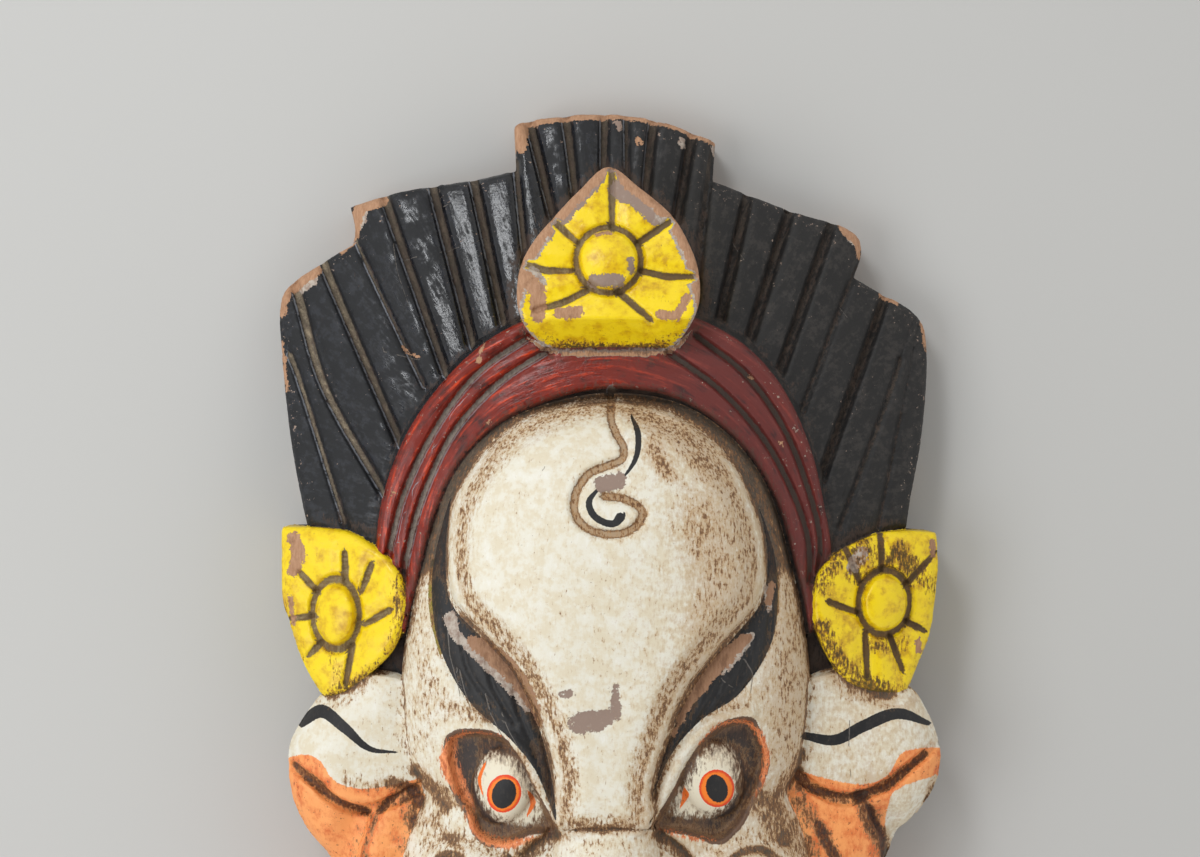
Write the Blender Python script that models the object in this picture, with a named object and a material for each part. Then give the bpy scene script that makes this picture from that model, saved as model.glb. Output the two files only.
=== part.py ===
"""Carved and painted wooden cham mask, lying on its back as a loose mask lies.

The mask is one block of wood: a fluted crest of hair, a ridged headband, three
flowers, the face and its two ears. Its back is flat and hollowed for a head.

Frame: metres, +Z up. +Z is the way the mask looks, +Y runs from the chin to the
crest, and +X is on the right of someone who looks at the mask. The origin is in
the middle of the back, on the surface that the mask lies on.

The carving is drawn in millimetres, as a height above the back for each point of
the front. MM turns it into metres where the meshes are made.
"""

import bmesh
import bpy
import numpy as np

MM = 0.001

# Driving sizes, in millimetres
HALF_WIDTH = 143.5
CREST_TOP = 217.5
GRID_STEP = 1.8
FLOWER_GRID_STEP = 1.2
THINNING = 0.083
FLOWER_THINNING = 0.09
BLOCK_MARGIN = 4.0
BLOCK_BELOW = 6.0
LEAST_HEIGHT = 8.0
SLAB_TOP = 150.0
SIDE_STEEPNESS = 3.5
SHARP_ANGLE = 0.9

# Paints, each a material's name, colour and roughness
PAINTS = [
    ("bare wood", (0.24, 0.15, 0.085, 1.0), 0.75),
    ("white face paint", (0.72, 0.69, 0.55, 1.0), 0.5),
    ("black hair paint", (0.016, 0.017, 0.02, 1.0), 0.4),
    ("red band paint", (0.17, 0.018, 0.014, 1.0), 0.42),
    ("yellow flower paint", (0.83, 0.6, 0.01, 1.0), 0.42),
    ("orange ear paint", (0.76, 0.29, 0.12, 1.0), 0.5),
]
WOOD, WHITE, BLACK, RED, YELLOW, ORANGE = range(len(PAINTS))

# Crest: a fan that falls away from the band, with gouged flutes
FAN_CENTRE = (-1.0, 28.0)
FAN_RADIUS = 100.0
CREST_AT_BAND = 51.0
CREST_FALL = 0.31
CREST_SIDE_FALL = 0.18
CREST_SIDE_FROM = 95.0
CREST_ROUND = 4.0
FLUTE_CROWN = 1.3
FLUTE_TILT = 0.9
GOUGE_HALF_WIDTH = 3.2
GOUGE_DEPTH = 3.4

# Headband
BAND_OUTER_LEVEL = 57.0
BAND_RISE = 9.0
BAND_TOP_LIFT = 6.0
BAND_GROOVE_DEPTH = 3.4
BAND_GROOVE_HALF_WIDTH = 2.8
BAND_DIP_HALF_WIDTH = 6.0
BAND_DIP_DEPTH = 1.0
BAND_ROUND = 3.0

# Head and forehead
FOREHEAD_LIP = 4.0
FOREHEAD_SWELL = 7.0
FOREHEAD_SWELL_WIDTH = 17.0
FOREHEAD_DOME = 7.0
DOME_CENTRE = (0.0, 32.0)
DOME_RADII = (78.0, 92.0)
BROW_BED = 1.4
BROW_SWELL = 2.4
BROW_HAIR_HALF_WIDTH = 1.7
BROW_HAIR_DEPTH = 1.0
SOCKET_DEPTH = 6.0
EYEBALL_SWELL = 8.5
EYEBALL_RADII = (13.0, 17.5)
EYEBALL_TURN = 0.35
LEFT_EYE = (-42.5, -67.0)
RIGHT_EYE = (44.0, -64.5)
LID_HEIGHT = 2.2
CURL_HALF_WIDTH = 2.2
CURL_DEPTH = 1.8

# Lower face
FACE_LEVEL = 84.0
NOSE_TIP = (0.0, -121.0)
NOSE_TIP_RADII = (20.0, 18.0)
NOSE_TIP_HEIGHT = 33.0
NOSE_WING = (23.5, -123.0)
NOSE_WING_RADII = (15.5, 14.0)
NOSE_WING_HEIGHT = 24.0
NOSTRIL = (13.5, -135.0)
NOSTRIL_RADII = (7.0, 5.0)
NOSTRIL_DEPTH = 9.0
CHEEK = (59.0, -121.0)
CHEEK_RADII = (33.0, 31.0)
CHEEK_SWELL = 22.0
MOUTH_DEPTH = 9.0
TOOTH_WIDTH = 9.4
TOOTH_LENGTH = 9.5
TOOTH_HEIGHT = 6.5
FANG_AT_TOOTH = 3
FANG_LENGTH = 15.0
TEETH_HALF_WIDTH = 42.0
CHIN = (0.0, -197.0)
CHIN_RADII = (30.0, 17.0)
CHIN_SWELL = 13.0
EAR_SEAM_HALF_WIDTH = 4.0
EAR_SEAM_DEPTH = 3.0

# Ears and flowers
EAR_RIM = 38.0
EAR_SWELL = 19.0
EAR_SWELL_WIDTH = 26.0
EAR_LOBE_FALL = 6.0
EAR_FOLD_WIDTH = 3.6
CUP_DEPTH = 3.0
CUP_LIP = 2.0
FLOWER_SLOPE = 0.5
FLOWER_AT_BOSS = 52.0
FLOWER_ROUND = 5.0
FLOWER_BOTTOM = 5.0
BOSS_HEIGHT = 4.0
BOSS_CROWN = 1.6
BOSS_RING_DEPTH = 2.0
LEFT_BOSS = (-115.0, 1.0)
LEFT_BOSS_RADII = (9.0, 12.8)
RIGHT_BOSS = (118.5, 6.0)
RIGHT_BOSS_RADII = (10.0, 11.9)
PETAL_GROOVE_DEPTH = 2.2
PETAL_GROOVE_HALF_WIDTH = 2.0
MIDDLE_BOSS = (1.0, 150.0)
MIDDLE_BOSS_RADII = (12.0, 12.3)
MIDDLE_FLOWER_TIP = 190.0
MIDDLE_FLOWER_TOP = 66.0
MIDDLE_FLOWER_SLOPE = 0.27
MIDDLE_FLOWER_EDGE = 125.5
MIDDLE_FLOWER_BEVEL = 1.25
MIDDLE_FLOWER_ROUND = 3.0
MIDDLE_FLOWER_BOTTOM = 12.0

# Back
HOLLOW_CENTRE = (0.0, -62.0, -1.0)
HOLLOW_RADII = (72.0, 125.0, 79.0)
UNDERCUT_CENTRE = (152.0, -58.0, -3.0)
UNDERCUT_RADII = (58.0, 116.0, 24.0)
CREST_UNDERCUT_CENTRE = (158.0, 128.0, -3.0)
CREST_UNDERCUT_RADII = (44.0, 74.0, 15.0)


# Curves and distances
def curve_through(points, closed=False, per_span=8):
    """Close points along a smooth curve through a few points (centripetal Catmull-Rom)."""
    given = np.array(points, float)
    if closed:
        knots = np.vstack([given[-1:], given, given[:2]])
    else:
        knots = np.vstack([2 * given[0] - given[1], given, 2 * given[-1] - given[-2]])
    spans = []
    for a, b, c, d in zip(knots[:-3], knots[1:-2], knots[2:-1], knots[3:]):
        times = [0.0]
        for start, end in ((a, b), (b, c), (c, d)):
            times.append(times[-1] + max(np.hypot(*(end - start)), 1e-6) ** 0.5)
        t0, t1, t2, t3 = times
        t = np.linspace(t1, t2, per_span, endpoint=False)[:, None]
        ab = (t1 - t) / (t1 - t0) * a + (t - t0) / (t1 - t0) * b
        bc = (t2 - t) / (t2 - t1) * b + (t - t1) / (t2 - t1) * c
        cd = (t3 - t) / (t3 - t2) * c + (t - t2) / (t3 - t2) * d
        abc = (t2 - t) / (t2 - t0) * ab + (t - t0) / (t2 - t0) * bc
        bcd = (t3 - t) / (t3 - t1) * bc + (t - t1) / (t3 - t1) * cd
        spans.append((t2 - t) / (t2 - t1) * abc + (t - t1) / (t2 - t1) * bcd)
    if not closed:
        spans.append(given[-1:])
    return np.vstack(spans)


def chain(*sections):
    """One outline from several smooth sections, with a corner where two sections meet."""
    return np.vstack([curve_through(section)[:-1] for section in sections] + [sections[-1][-1:]])


def mirrored(path):
    return [(-x, y) for x, y in path]


def path_distance(x, y, path, reach=25.0):
    """Distance to a path, at most this reach, and how far along it the nearest point is, from 0 to 1."""
    path = np.asarray(path, float)
    low = np.minimum(path[:-1], path[1:]) - reach
    high = np.maximum(path[:-1], path[1:]) + reach
    near = (low[:, 0] <= x.max()) & (high[:, 0] >= x.min()) & (low[:, 1] <= y.max()) & (high[:, 1] >= y.min())
    index = np.flatnonzero(near)
    if not len(index):
        return np.full(x.shape, reach), np.zeros(x.shape)
    start = path[index]
    run = path[index + 1] - start
    off_x, off_y = x[:, None] - start[:, 0], y[:, None] - start[:, 1]
    length = np.maximum((run**2).sum(1), 1e-9)
    along = np.clip((off_x * run[:, 0] + off_y * run[:, 1]) / length, 0, 1)
    distance = np.hypot(off_x - along * run[:, 0], off_y - along * run[:, 1])
    nearest = distance.argmin(1)
    rows = np.arange(len(x))
    share = (index[nearest] + along[rows, nearest]) / (len(path) - 1)
    return np.minimum(distance[rows, nearest], reach), share


def depth_inside(x, y, outline, reach=25.0):
    """Distance to a closed outline, positive inside it and negative outside, at most this reach."""
    ring = np.vstack([outline, outline[:1]])
    distance, _ = path_distance(x, y, ring, reach)
    far = distance.min() >= reach
    px, py = (x[:1, None], y[:1, None]) if far else (x[:, None], y[:, None])
    (ax, ay), (bx, by) = ring[:-1].T, ring[1:].T
    slope = (bx - ax) / np.where(ay == by, 1, by - ay)
    crossings = (((ay > py) != (by > py)) & (px < ax + (py - ay) * slope)).sum(1)
    return np.where(crossings % 2 == 1, distance, -distance)


def cut(x, y, path, half_width, depth):
    """A round-bottomed gouge along a path, as the depth that it takes away."""
    distance, _ = path_distance(x, y, path, half_width)
    return gouge(distance, half_width, depth)


def by_tiles(height, x, y, side=20.0):
    """Reads a height tile by tile, so that each curve is only measured where it is near."""
    tile = np.floor(x / side) * 1000 + np.floor(y / side)
    order = np.argsort(tile, kind="stable")
    found = np.empty(x.shape)
    for group in np.split(order, np.flatnonzero(np.diff(tile[order])) + 1):
        found[group] = height(x[group], y[group])
    return found


def ramp(value, start, end):
    """Rises smoothly from 0 at start to 1 at end."""
    t = np.clip((value - start) / (end - start), 0, 1)
    return t * t * (3 - 2 * t)


def profile(position, knots):
    """A smooth curve of (position, value) knots, read at each position."""
    curve = curve_through(sorted(knots))
    return np.interp(position, curve[:, 0], curve[:, 1])


def swell(inside, width):
    """A quarter-round rise from 0 at an edge to 1 at this distance inside it."""
    return np.sqrt(1 - (1 - np.clip(inside / width, 0, 1)) ** 2)


def rounded_drop(inside, radius):
    """How far a surface falls near its edge: a quarter round, then a steep side."""
    within = np.clip(radius - inside, 0, radius)
    return radius - np.sqrt(radius**2 - within**2) + SIDE_STEEPNESS * np.maximum(-inside, 0)


def mound(x, y, centre, radii):
    """A flat-edged mound: 1 in its middle and 0 from its edge outwards."""
    return np.clip(1 - ((x - centre[0]) / radii[0]) ** 2 - ((y - centre[1]) / radii[1]) ** 2, 0, 1)


def gouge(distance, half_width, depth):
    """The depth of a round-bottomed gouge cut at this distance from its middle."""
    return depth * (1 - ramp(distance, 0.35 * half_width, half_width))


def cap(x, y, centre, radii, turn=0.0):
    """A half ellipsoid's height: 1 in its middle, 0 at its edge, and falling on outside."""
    dx, dy = x - centre[0], y - centre[1]
    along = (dx * np.cos(turn) + dy * np.sin(turn)) / radii[0]
    across = (dy * np.cos(turn) - dx * np.sin(turn)) / radii[1]
    spread = along**2 + across**2
    return np.where(spread < 1, np.sqrt(np.maximum(1 - spread, 0)), 1 - spread)


def blended_max(a, b, width):
    """The higher of two surfaces, with the corner between them filled over this width."""
    share = np.clip(0.5 + 0.5 * (a - b) / width, 0, 1)
    return b + (a - b) * share + width * share * (1 - share)


# Outlines of the forms
CREST = chain(
    [(-129, 37), (-132, 50), (-137, 75), (-141, 105), (-143, 132), (-141.5, 139), (-138, 143.5),
     (-125.5, 151.5), (-110.5, 160)],
    [(-110.5, 160), (-109.5, 167), (-112, 177)],
    [(-112, 177), (-90, 183), (-55, 188.5), (-39, 192)],
    [(-39, 192), (-40, 211.5)],
    [(-40, 211.5), (-37.5, 213.5), (-20, 216.3), (-2.5, 217.5), (15, 216), (32.5, 211.3), (48, 205)],
    [(48, 205), (46.5, 187.5)],
    [(46.5, 187.5), (63, 181), (85, 173), (104.5, 167.5), (110.5, 163), (111.5, 156), (108, 145.5)],
    [(108, 145.5), (119.5, 139), (129, 134.5), (138, 127), (140.5, 116), (139.5, 92.5),
     (136.5, 70.5), (132, 49), (130, 37)],
    [(130, 37), (112, 32), (101, 20), (97, 0), (101, -22), (96, -42)],
    [(96, -42), (-96, -42)],
    [(-96, -42), (-101, -22), (-97, 0), (-101, 20), (-112, 32), (-129, 37)],
)

HALF_FACE = [
    (101, 0.5), (97, 22), (89, 41), (76, 56), (60, 67), (42, 73.5), (25, 78), (5, 83), (-34, 87),
    (-60, 84), (-73, 79), (-85, 83), (-100, 88), (-125, 91), (-145, 88), (-165, 80), (-185, 67),
    (-200, 50), (-210, 33), (-216, 13), (-217.5, 0),
]

HEAD_MIDDLE = [
    (101, 58), (94, 62), (86, 72), (75, 81), (60, 88), (40, 93), (10, 95), (-30, 94), (-60, 91), (-85, 88),
    (-110, 86), (-140, 86), (-165, 84), (-185, 78), (-200, 68), (-210, 54), (-217.5, 30),
]
HEAD_SIDE = [(101, 57), (60, 56), (20, 53), (-40, 50), (-100, 48), (-140, 40), (-180, 28), (-217.5, 26)]

MIDDLE_FLOWER = curve_through(
    [(1, 190), (14, 181), (28, 168.5), (35, 156), (38.3, 146), (38.7, 133), (35, 123), (27, 114),
     (12, 112.6), (-8, 112.6), (-22.5, 113.5), (-31.5, 119.5), (-36, 128), (-37, 137.5), (-35, 149),
     (-29.5, 159), (-22.5, 167.5), (-11, 180)],
    closed=True,
)
LEFT_FLOWER = chain(
    [(-139.7, 37.5), (-124, 37.5), (-108, 35.5), (-97.5, 29.5), (-87, 20), (-83.5, 9), (-85, -2.5),
     (-90, -14), (-100, -24), (-111, -32.5), (-120, -34.5), (-124, -30), (-130, -20), (-136, -4),
     (-139, 5), (-139.7, 22), (-139.7, 37.5)],
)
RIGHT_FLOWER = chain(
    [(142.5, 35), (143.3, 25.5), (141.5, 4.5), (139.5, -8), (134, -21), (129, -32), (125, -35.3),
     (119, -33.5), (104, -28.5), (93.5, -16.5), (87.5, -1.5), (87, 9), (89, 18.5), (95, 25.5),
     (103.5, 30.5), (116, 35), (130, 36), (142.5, 35)],
)

EAR_RIM_SPAN = slice(4, 125)
EAR_LOWER = [(114, -120), (111, -134), (105, -147), (97, -152), (90, -148), (84, -135)]
LEFT_EAR = curve_through(
    [(-108, -26), (-121, -33), (-127, -40), (-132, -47.5), (-135.5, -55), (-136.3, -64.5),
     (-135.4, -73.5), (-133, -82.5), (-128, -92.5), (-119, -104), *mirrored(EAR_LOWER),
     (-80, -100), (-74, -75), (-78, -50), (-84, -28)],
    closed=True,
)
RIGHT_EAR = curve_through(
    [(108, -24), (125, -29), (132, -32), (137, -39.5), (141, -48), (143.5, -58), (143, -66.5),
     (140, -75.5), (132.5, -86), (125, -94.5), (121.5, -104), *EAR_LOWER,
     (80, -100), (74, -75), (78, -50), (84, -28)],
    closed=True,
)
LEFT_EAR_FOLD = curve_through([(133, -65), (122, -71.5), (119, -75), (106, -82), (90, -78), (78, -72)])
LEFT_EAR_FLAP = curve_through([(99.5, -82), (101.5, -90), (105.5, -102), (107, -118), (104, -134)])
RIGHT_EAR_FOLD = curve_through(
    [(139, -56.5), (128.5, -64), (120, -70.5), (108, -76), (100.5, -77.5), (90, -73.5), (80, -66)]
)
RIGHT_EAR_FLAP = curve_through([(109, -77), (112.5, -86.5), (117, -98), (115, -112), (106, -132)])
EAR_SEAM_LEFT = curve_through(
    [(-88, -30), (-87, -50), (-84, -63.5), (-78, -72.5), (-81.5, -82.5), (-86.5, -93), (-89.5, -105),
     (-90.5, -125), (-88, -146)]
)
EAR_SEAM_RIGHT = curve_through(
    [(87.5, -30), (85.5, -50), (83, -64), (79, -74), (86, -86), (89.5, -100), (91.5, -125),
     (88, -146)]
)

BAND_OUTER = curve_through(
    [(-88, -6), (-96, 14), (-97, 33), (-93.5, 54), (-83, 79.5), (-66, 102.5), (-49, 117.5), (-25, 129),
     (5, 133.5), (32, 128.5), (56.5, 116.5), (73.5, 98.5), (86.5, 71), (92.5, 46), (95.5, 28), (94, 10),
     (88, -6)]
)
BAND_INNER = curve_through(
    [(-85, -6), (-82, 6), (-77.5, 22), (-72, 42), (-61, 65), (-44.5, 82), (-19, 93.5), (1.5, 97), (29, 93),
     (54, 76), (71.5, 50), (80, 22), (84, 6), (86, -6)]
)
BAND = np.vstack([BAND_OUTER, BAND_INNER[::-1]])
BAND_GROOVES = [
    curve_through([(-94, 14), (-90.5, 33), (-84.5, 54), (-69.5, 83.5), (-53, 104), (-30, 120)]),
    curve_through([(-86, 14), (-83.5, 28), (-77.5, 50), (-63.5, 79), (-44.5, 99.5), (-24, 113)]),
    curve_through([(38, 119), (58.5, 103), (75, 80), (86.5, 51), (90.5, 34), (90, 16)]),
    curve_through([(26, 112), (47.5, 96.5), (66, 76), (80, 50), (85.5, 32), (86, 16)]),
]

FOREHEAD = curve_through(
    [(1.5, 91.5), (19, 89), (35, 81.5), (51, 67), (60, 51), (65.5, 32), (66, 22), (62.5, 9),
     (52.5, -2.5), (41, -15), (31, -29), (24.5, -46), (19, -64), (17.5, -84), (-19.5, -84),
     (-21.5, -62), (-28, -36), (-38.5, -16.5), (-51, -3), (-62, 9), (-65.5, 24), (-65, 42),
     (-61, 55), (-51, 69), (-35, 82.5), (-17, 89)],
    closed=True,
)
LEFT_BROW = curve_through(
    [(-64.5, 52), (-66.5, 30), (-64, 8), (-52, -5), (-39, -19), (-29, -38), (-22.5, -62), (-20.5, -80),
     (-29, -60), (-39.5, -47), (-56, -33), (-68.5, -12), (-72.5, 9), (-71.5, 27)],
    closed=True,
)
RIGHT_BROW = curve_through(
    [(63.5, 48), (67, 30), (64.5, 9), (53.5, -4.5), (41.5, -18), (32, -33), (25, -50), (18.5, -72),
     (26.5, -54), (38.5, -40), (55, -29), (68.5, -9), (71.5, 9), (70.5, 27)],
    closed=True,
)
BROW_HAIRS = [
    curve_through([(68, 2), (66, -12), (57, -27)]), curve_through([(60, -6), (56, -20), (46, -34)]),
    curve_through([(49, -13), (46, -26), (37, -41)]), curve_through([(38, -25), (35, -38), (28, -54)]),
]
LEFT_SOCKET = curve_through(
    [(-66, -54), (-64.5, -48), (-60, -45.5), (-50, -45), (-42, -47.5), (-36, -54), (-31, -64),
     (-21, -85.5), (-31, -87.5), (-41, -91.5), (-48.5, -91), (-53.5, -87.5), (-57, -79), (-62.5, -71)],
    closed=True,
)
RIGHT_SOCKET = curve_through(
    [(20, -84.5), (28, -67), (35, -54), (43, -45), (51.5, -40.5), (59.5, -40.5), (63.5, -48),
     (66.5, -58), (64, -67), (60, -75), (54.5, -84.5), (46, -90.5), (33.5, -87.5)],
    closed=True,
)
LEFT_LID = curve_through([(-62, -43.5), (-50, -42.5), (-40.5, -45), (-33.5, -53), (-28, -64), (-19.5, -83)])
RIGHT_LID = curve_through([(18.5, -82), (25.5, -66), (32.5, -52.5), (41, -42.5), (50, -38), (60, -37.5)])

CURL = curve_through(
    [(2.5, 96), (2, 84), (4, 78), (7, 72.5), (6.5, 67.5), (0.5, 65), (-7, 61.5), (-11.5, 55.5),
     (-13, 49), (-11.5, 43.5), (-6, 39), (1, 37.5), (8.5, 38.5), (13.5, 42.5), (14.5, 46.5),
     (11, 50), (5.5, 52), (-0.5, 52.5)]
)

# Lower face
BRIDGE_FOLD = curve_through([(-24, -84), (-12, -81), (0, -80), (12, -81), (22, -84)])
SNOUT_FOLD = curve_through([(-9, -94), (0, -91), (10, -94)])
NOSE_RIDGE = [(-76, 97), (-84, 98), (-94, 102), (-106, 109), (-118, 114), (-130, 108), (-146, 86)]
NOSE_HALF_WIDTH = [(-76, 22), (-90, 22), (-104, 24), (-118, 28), (-130, 27), (-146, 17)]
CHEEK_FOLD = curve_through([(22, -88), (32, -97), (37, -112), (44, -128), (60, -148)])
UPPER_LIP = curve_through(
    [(-50, -143), (-38, -150), (-20, -153), (-8, -150.5), (0, -152.5), (8, -150.5), (20, -153), (38, -150),
     (50, -143)]
)
LOWER_LIP = curve_through(
    [(-50, -143), (-43, -158), (-26, -172), (0, -178), (26, -172), (43, -158), (50, -143)]
)
LIP_CLEFT = [(0, -140), (0, -148)]

# Gouges of the crest from left to right: a path and a depth for each
HAIR_GOUGES = [
    ([(-138, 112), (-134.5, 104), (-111.5, 38)], 0.6),
    ([(-138, 146), (-135, 139), (-125.5, 107.5), (-118.5, 91.5), (-94, 52)], 1.0),
    ([(-124, 154), (-122, 149), (-87, 73)], 1.0),
    ([(-109.5, 164), (-108, 160), (-77.5, 98)], 0.35),
    ([(-97, 183), (-95, 177), (-68, 103)], 1.0),
    ([(-76, 188), (-74.5, 182), (-56.5, 115)], 1.0),
    ([(-58, 191), (-57, 186), (-43.5, 125)], 1.0),
    ([(-39, 196), (-38.5, 190), (-34, 150), (-30, 125)], 0.6),
    ([(-34, 216), (-32.5, 211), (-23, 172)], 1.0),
    ([(-18, 219), (-17, 213), (-13, 180)], 1.0),
    ([(-0.5, 220), (-0.5, 213), (-1, 188)], 0.9),
    ([(9, 219), (9, 212), (9, 186)], 0.45),
    ([(22, 217), (20.5, 211), (17, 180)], 1.0),
    ([(39, 212), (37.5, 207), (30.5, 170)], 1.0),
    ([(48, 208), (46, 200), (40, 155), (38, 135)], 0.6),
    ([(62, 184), (61, 179), (48, 124)], 1.0),
    ([(81, 178), (79, 172), (60.5, 116)], 1.0),
    ([(100, 173), (97.5, 167), (73, 101)], 1.0),
    ([(109, 150), (106.5, 144.5), (83, 86)], 0.35),
    ([(123, 141), (120.5, 134.5), (91.5, 59)], 1.0),
    ([(128, 110), (127.5, 107), (100, 38)], 0.45),
    ([(128, 86), (127.5, 83.5), (117.5, 38)], 0.3),
]
HAIR_GOUGES = [(curve_through(points, per_span=4), share) for points, share in HAIR_GOUGES]

# Each flower: outline, boss and the cuts between its petals
MIDDLE_PETALS = [
    [(2.5, 190), (2.5, 163)], [(-24, 168.5), (-12, 157.5)], [(-37, 149.5), (-25, 145.5), (-14, 145.5)],
    [(-8, 137), (-18, 132), (-29, 129)], [(4.5, 137), (18.5, 125)],
    [(14.5, 145.5), (25, 143), (37, 143)], [(13, 157), (29, 168)],
]
LEFT_PETALS = [
    [(-131, 18), (-123, 10)], [(-111, 27), (-110.5, 14.5)], [(-99, 22.5), (-103.5, 11)],
    [(-91, 3.5), (-102, -3)], [(-107.5, -12), (-110.5, -28)], [(-121.5, -11.5), (-127, -17)],
    [(-124, 0), (-136, -2)],
]
RIGHT_PETALS = [
    [(117, 34.5), (117.5, 20)], [(101.5, 29), (107.5, 15)], [(94, 7), (106.5, 2)],
    [(110, -7), (111, -25.5)], [(121, -8.5), (127, -23.5)], [(128.5, -2.5), (137, -7)],
    [(128, 13), (142, 26.5)],
]


# The forms, each as a height in millimetres above the back
def hair_flutes(x, y):
    """The crown and the slight tilt of each flute between two gouges."""
    beside = []
    for path, _ in HAIR_GOUGES:
        (ax, ay), (bx, by) = path[0], path[-1]
        length = np.hypot(bx - ax, by - ay)
        beside.append(((bx - ax) * (y - ay) - (by - ay) * (x - ax)) / length)
    relief = np.zeros(x.shape)
    for index, (left, right) in enumerate(zip(beside[:-1], beside[1:])):
        between = (left > 0) & (right < 0)
        across = np.where(between, (left + right) / np.where(between, left - right, 1), 0)
        tilt = FLUTE_TILT * np.sin(2.4 * index + 1.0)
        relief += np.where(between, FLUTE_CROWN * (1 - across**2) + tilt * across, 0)
    return relief


def crest_height(x, y):
    reach = np.hypot(x - FAN_CENTRE[0], y - FAN_CENTRE[1])
    level = CREST_AT_BAND - CREST_FALL * np.maximum(reach - FAN_RADIUS, 0)
    level -= CREST_SIDE_FALL * np.maximum(np.abs(x) - CREST_SIDE_FROM, 0)
    level += hair_flutes(x, y)
    for path, share in HAIR_GOUGES:
        level -= cut(x, y, path, GOUGE_HALF_WIDTH * (0.5 + 0.5 * share), GOUGE_DEPTH * share)
    return level - rounded_drop(depth_inside(x, y, CREST), CREST_ROUND)


def band_height(x, y):
    from_outer, _ = path_distance(x, y, BAND_OUTER)
    from_inner, _ = path_distance(x, y, BAND_INNER)
    across = from_outer / np.maximum(from_outer + from_inner, 0.01)
    level = BAND_OUTER_LEVEL + BAND_RISE * across + BAND_TOP_LIFT * ramp(y, 10, 110)
    for path in BAND_GROOVES:
        level -= cut(x, y, path, BAND_GROOVE_HALF_WIDTH, BAND_GROOVE_DEPTH)
        level -= cut(x, y, path, BAND_DIP_HALF_WIDTH, BAND_DIP_DEPTH)
    return level - rounded_drop(depth_inside(x, y, BAND), BAND_ROUND)


def head_height(x, y):
    """The rounded head without its features: temples, cheeks and jaw."""
    half_width = np.maximum(profile(y, HALF_FACE), 0.01)
    middle, side = profile(y, HEAD_MIDDLE), profile(y, HEAD_SIDE)
    across = np.clip(np.abs(x) / half_width, 0, 1)
    level = side + (middle - side) * np.sqrt(1 - across**2.5)
    return level - 3.0 * np.maximum(np.abs(x) - half_width, 0) - 3.0 * np.maximum(y - 100, 0)


def forehead_lift(x, y):
    inside = depth_inside(x, y, FOREHEAD)
    dome = mound(x, y, DOME_CENTRE, DOME_RADII) ** 1.3
    lift = FOREHEAD_LIP * ramp(inside, -1.4, 1.4) + FOREHEAD_SWELL * swell(inside, FOREHEAD_SWELL_WIDTH)
    return lift + FOREHEAD_DOME * dome * ramp(inside, 0, 12)


def brow_relief(x, y):
    """The two brows, swelling out of a shallow bed beside the forehead, with cut hairs."""
    relief = np.zeros(x.shape)
    for outline, side in ((LEFT_BROW, -1), (RIGHT_BROW, 1)):
        inside = depth_inside(x, y, outline)
        hairs = sum(cut(side * x, y, path, BROW_HAIR_HALF_WIDTH, BROW_HAIR_DEPTH) for path in BROW_HAIRS)
        relief += np.where(inside > 0, BROW_SWELL * swell(inside, 8) - hairs, 0)
        relief -= BROW_BED * ramp(inside, -2.0, 0.6)
    return relief


def eye_surface(x, y, base):
    """Sockets sunk into the head, an eyeball in each, and the fold of the upper lid."""
    level = base
    for socket, lid, centre, turn in (
        (LEFT_SOCKET, LEFT_LID, LEFT_EYE, -EYEBALL_TURN),
        (RIGHT_SOCKET, RIGHT_LID, RIGHT_EYE, EYEBALL_TURN),
    ):
        inside = depth_inside(x, y, socket)
        sunk = level - SOCKET_DEPTH * ramp(inside, -0.8, 3.2)
        ball = base - SOCKET_DEPTH + EYEBALL_SWELL * cap(x, y, centre, EYEBALL_RADII, turn) - 1.0
        level = np.where(inside > 0, blended_max(sunk, ball, 0.8), sunk)
        distance, share = path_distance(x, y, lid, 4.0)
        level = level + LID_HEIGHT * (1 - ramp(distance, 0.5, 3.4)) * ramp(share, 0, 0.15)
    return level


def nose_height(x, y, base):
    """A broad nose below the bridge, with folds across it, a round tip, wings and nostrils."""
    level = base - cut(x, y, BRIDGE_FOLD, 2.8, 2.6)
    across = np.clip(np.abs(x) / profile(y, NOSE_HALF_WIDTH), 0, 1)
    bridge = level + (profile(y, NOSE_RIDGE) - level) * (1 - across**2) ** 0.75
    length = (y < NOSE_RIDGE[1][0]) & (y > NOSE_RIDGE[-1][0])
    level = np.where(length, np.maximum(bridge, level), level)
    tip = FACE_LEVEL + NOSE_TIP_HEIGHT * cap(x, y, NOSE_TIP, NOSE_TIP_RADII)
    level = blended_max(level, tip, 4.0)
    for side in (-1, 1):
        wing = cap(side * x, y, NOSE_WING, NOSE_WING_RADII, 0.3)
        level = blended_max(level, FACE_LEVEL + NOSE_WING_HEIGHT * wing, 5.0)
    level = level - cut(x, y, SNOUT_FOLD, 2.2, 2.4)
    for side in (-1, 1):
        nostril = cap(side * x, y, NOSTRIL, NOSTRIL_RADII, 0.4)
        level = level - NOSTRIL_DEPTH * np.maximum(nostril, 0)
    return level


def teeth(x, y, inside):
    """The upper row of teeth with a fang at each side, as a height above the sunken mouth."""
    below = np.interp(x, UPPER_LIP[:, 0], UPPER_LIP[:, 1]) - y
    across = np.abs((x / TOOTH_WIDTH + 0.5) % 1 - 0.5) * TOOTH_WIDTH
    fang = np.abs(np.abs(x) - FANG_AT_TOOTH * TOOTH_WIDTH) < TOOTH_WIDTH / 2
    length = np.where(fang, FANG_LENGTH - 1.2 * across, TOOTH_LENGTH)
    tooth = (1 - ramp(across, 3.2, 4.6)) * (1 - ramp(below, length - 2, length + 1.2))
    return TOOTH_HEIGHT * tooth * ramp(inside, 0, 2.5) * (np.abs(x) < TEETH_HALF_WIDTH)


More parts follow.
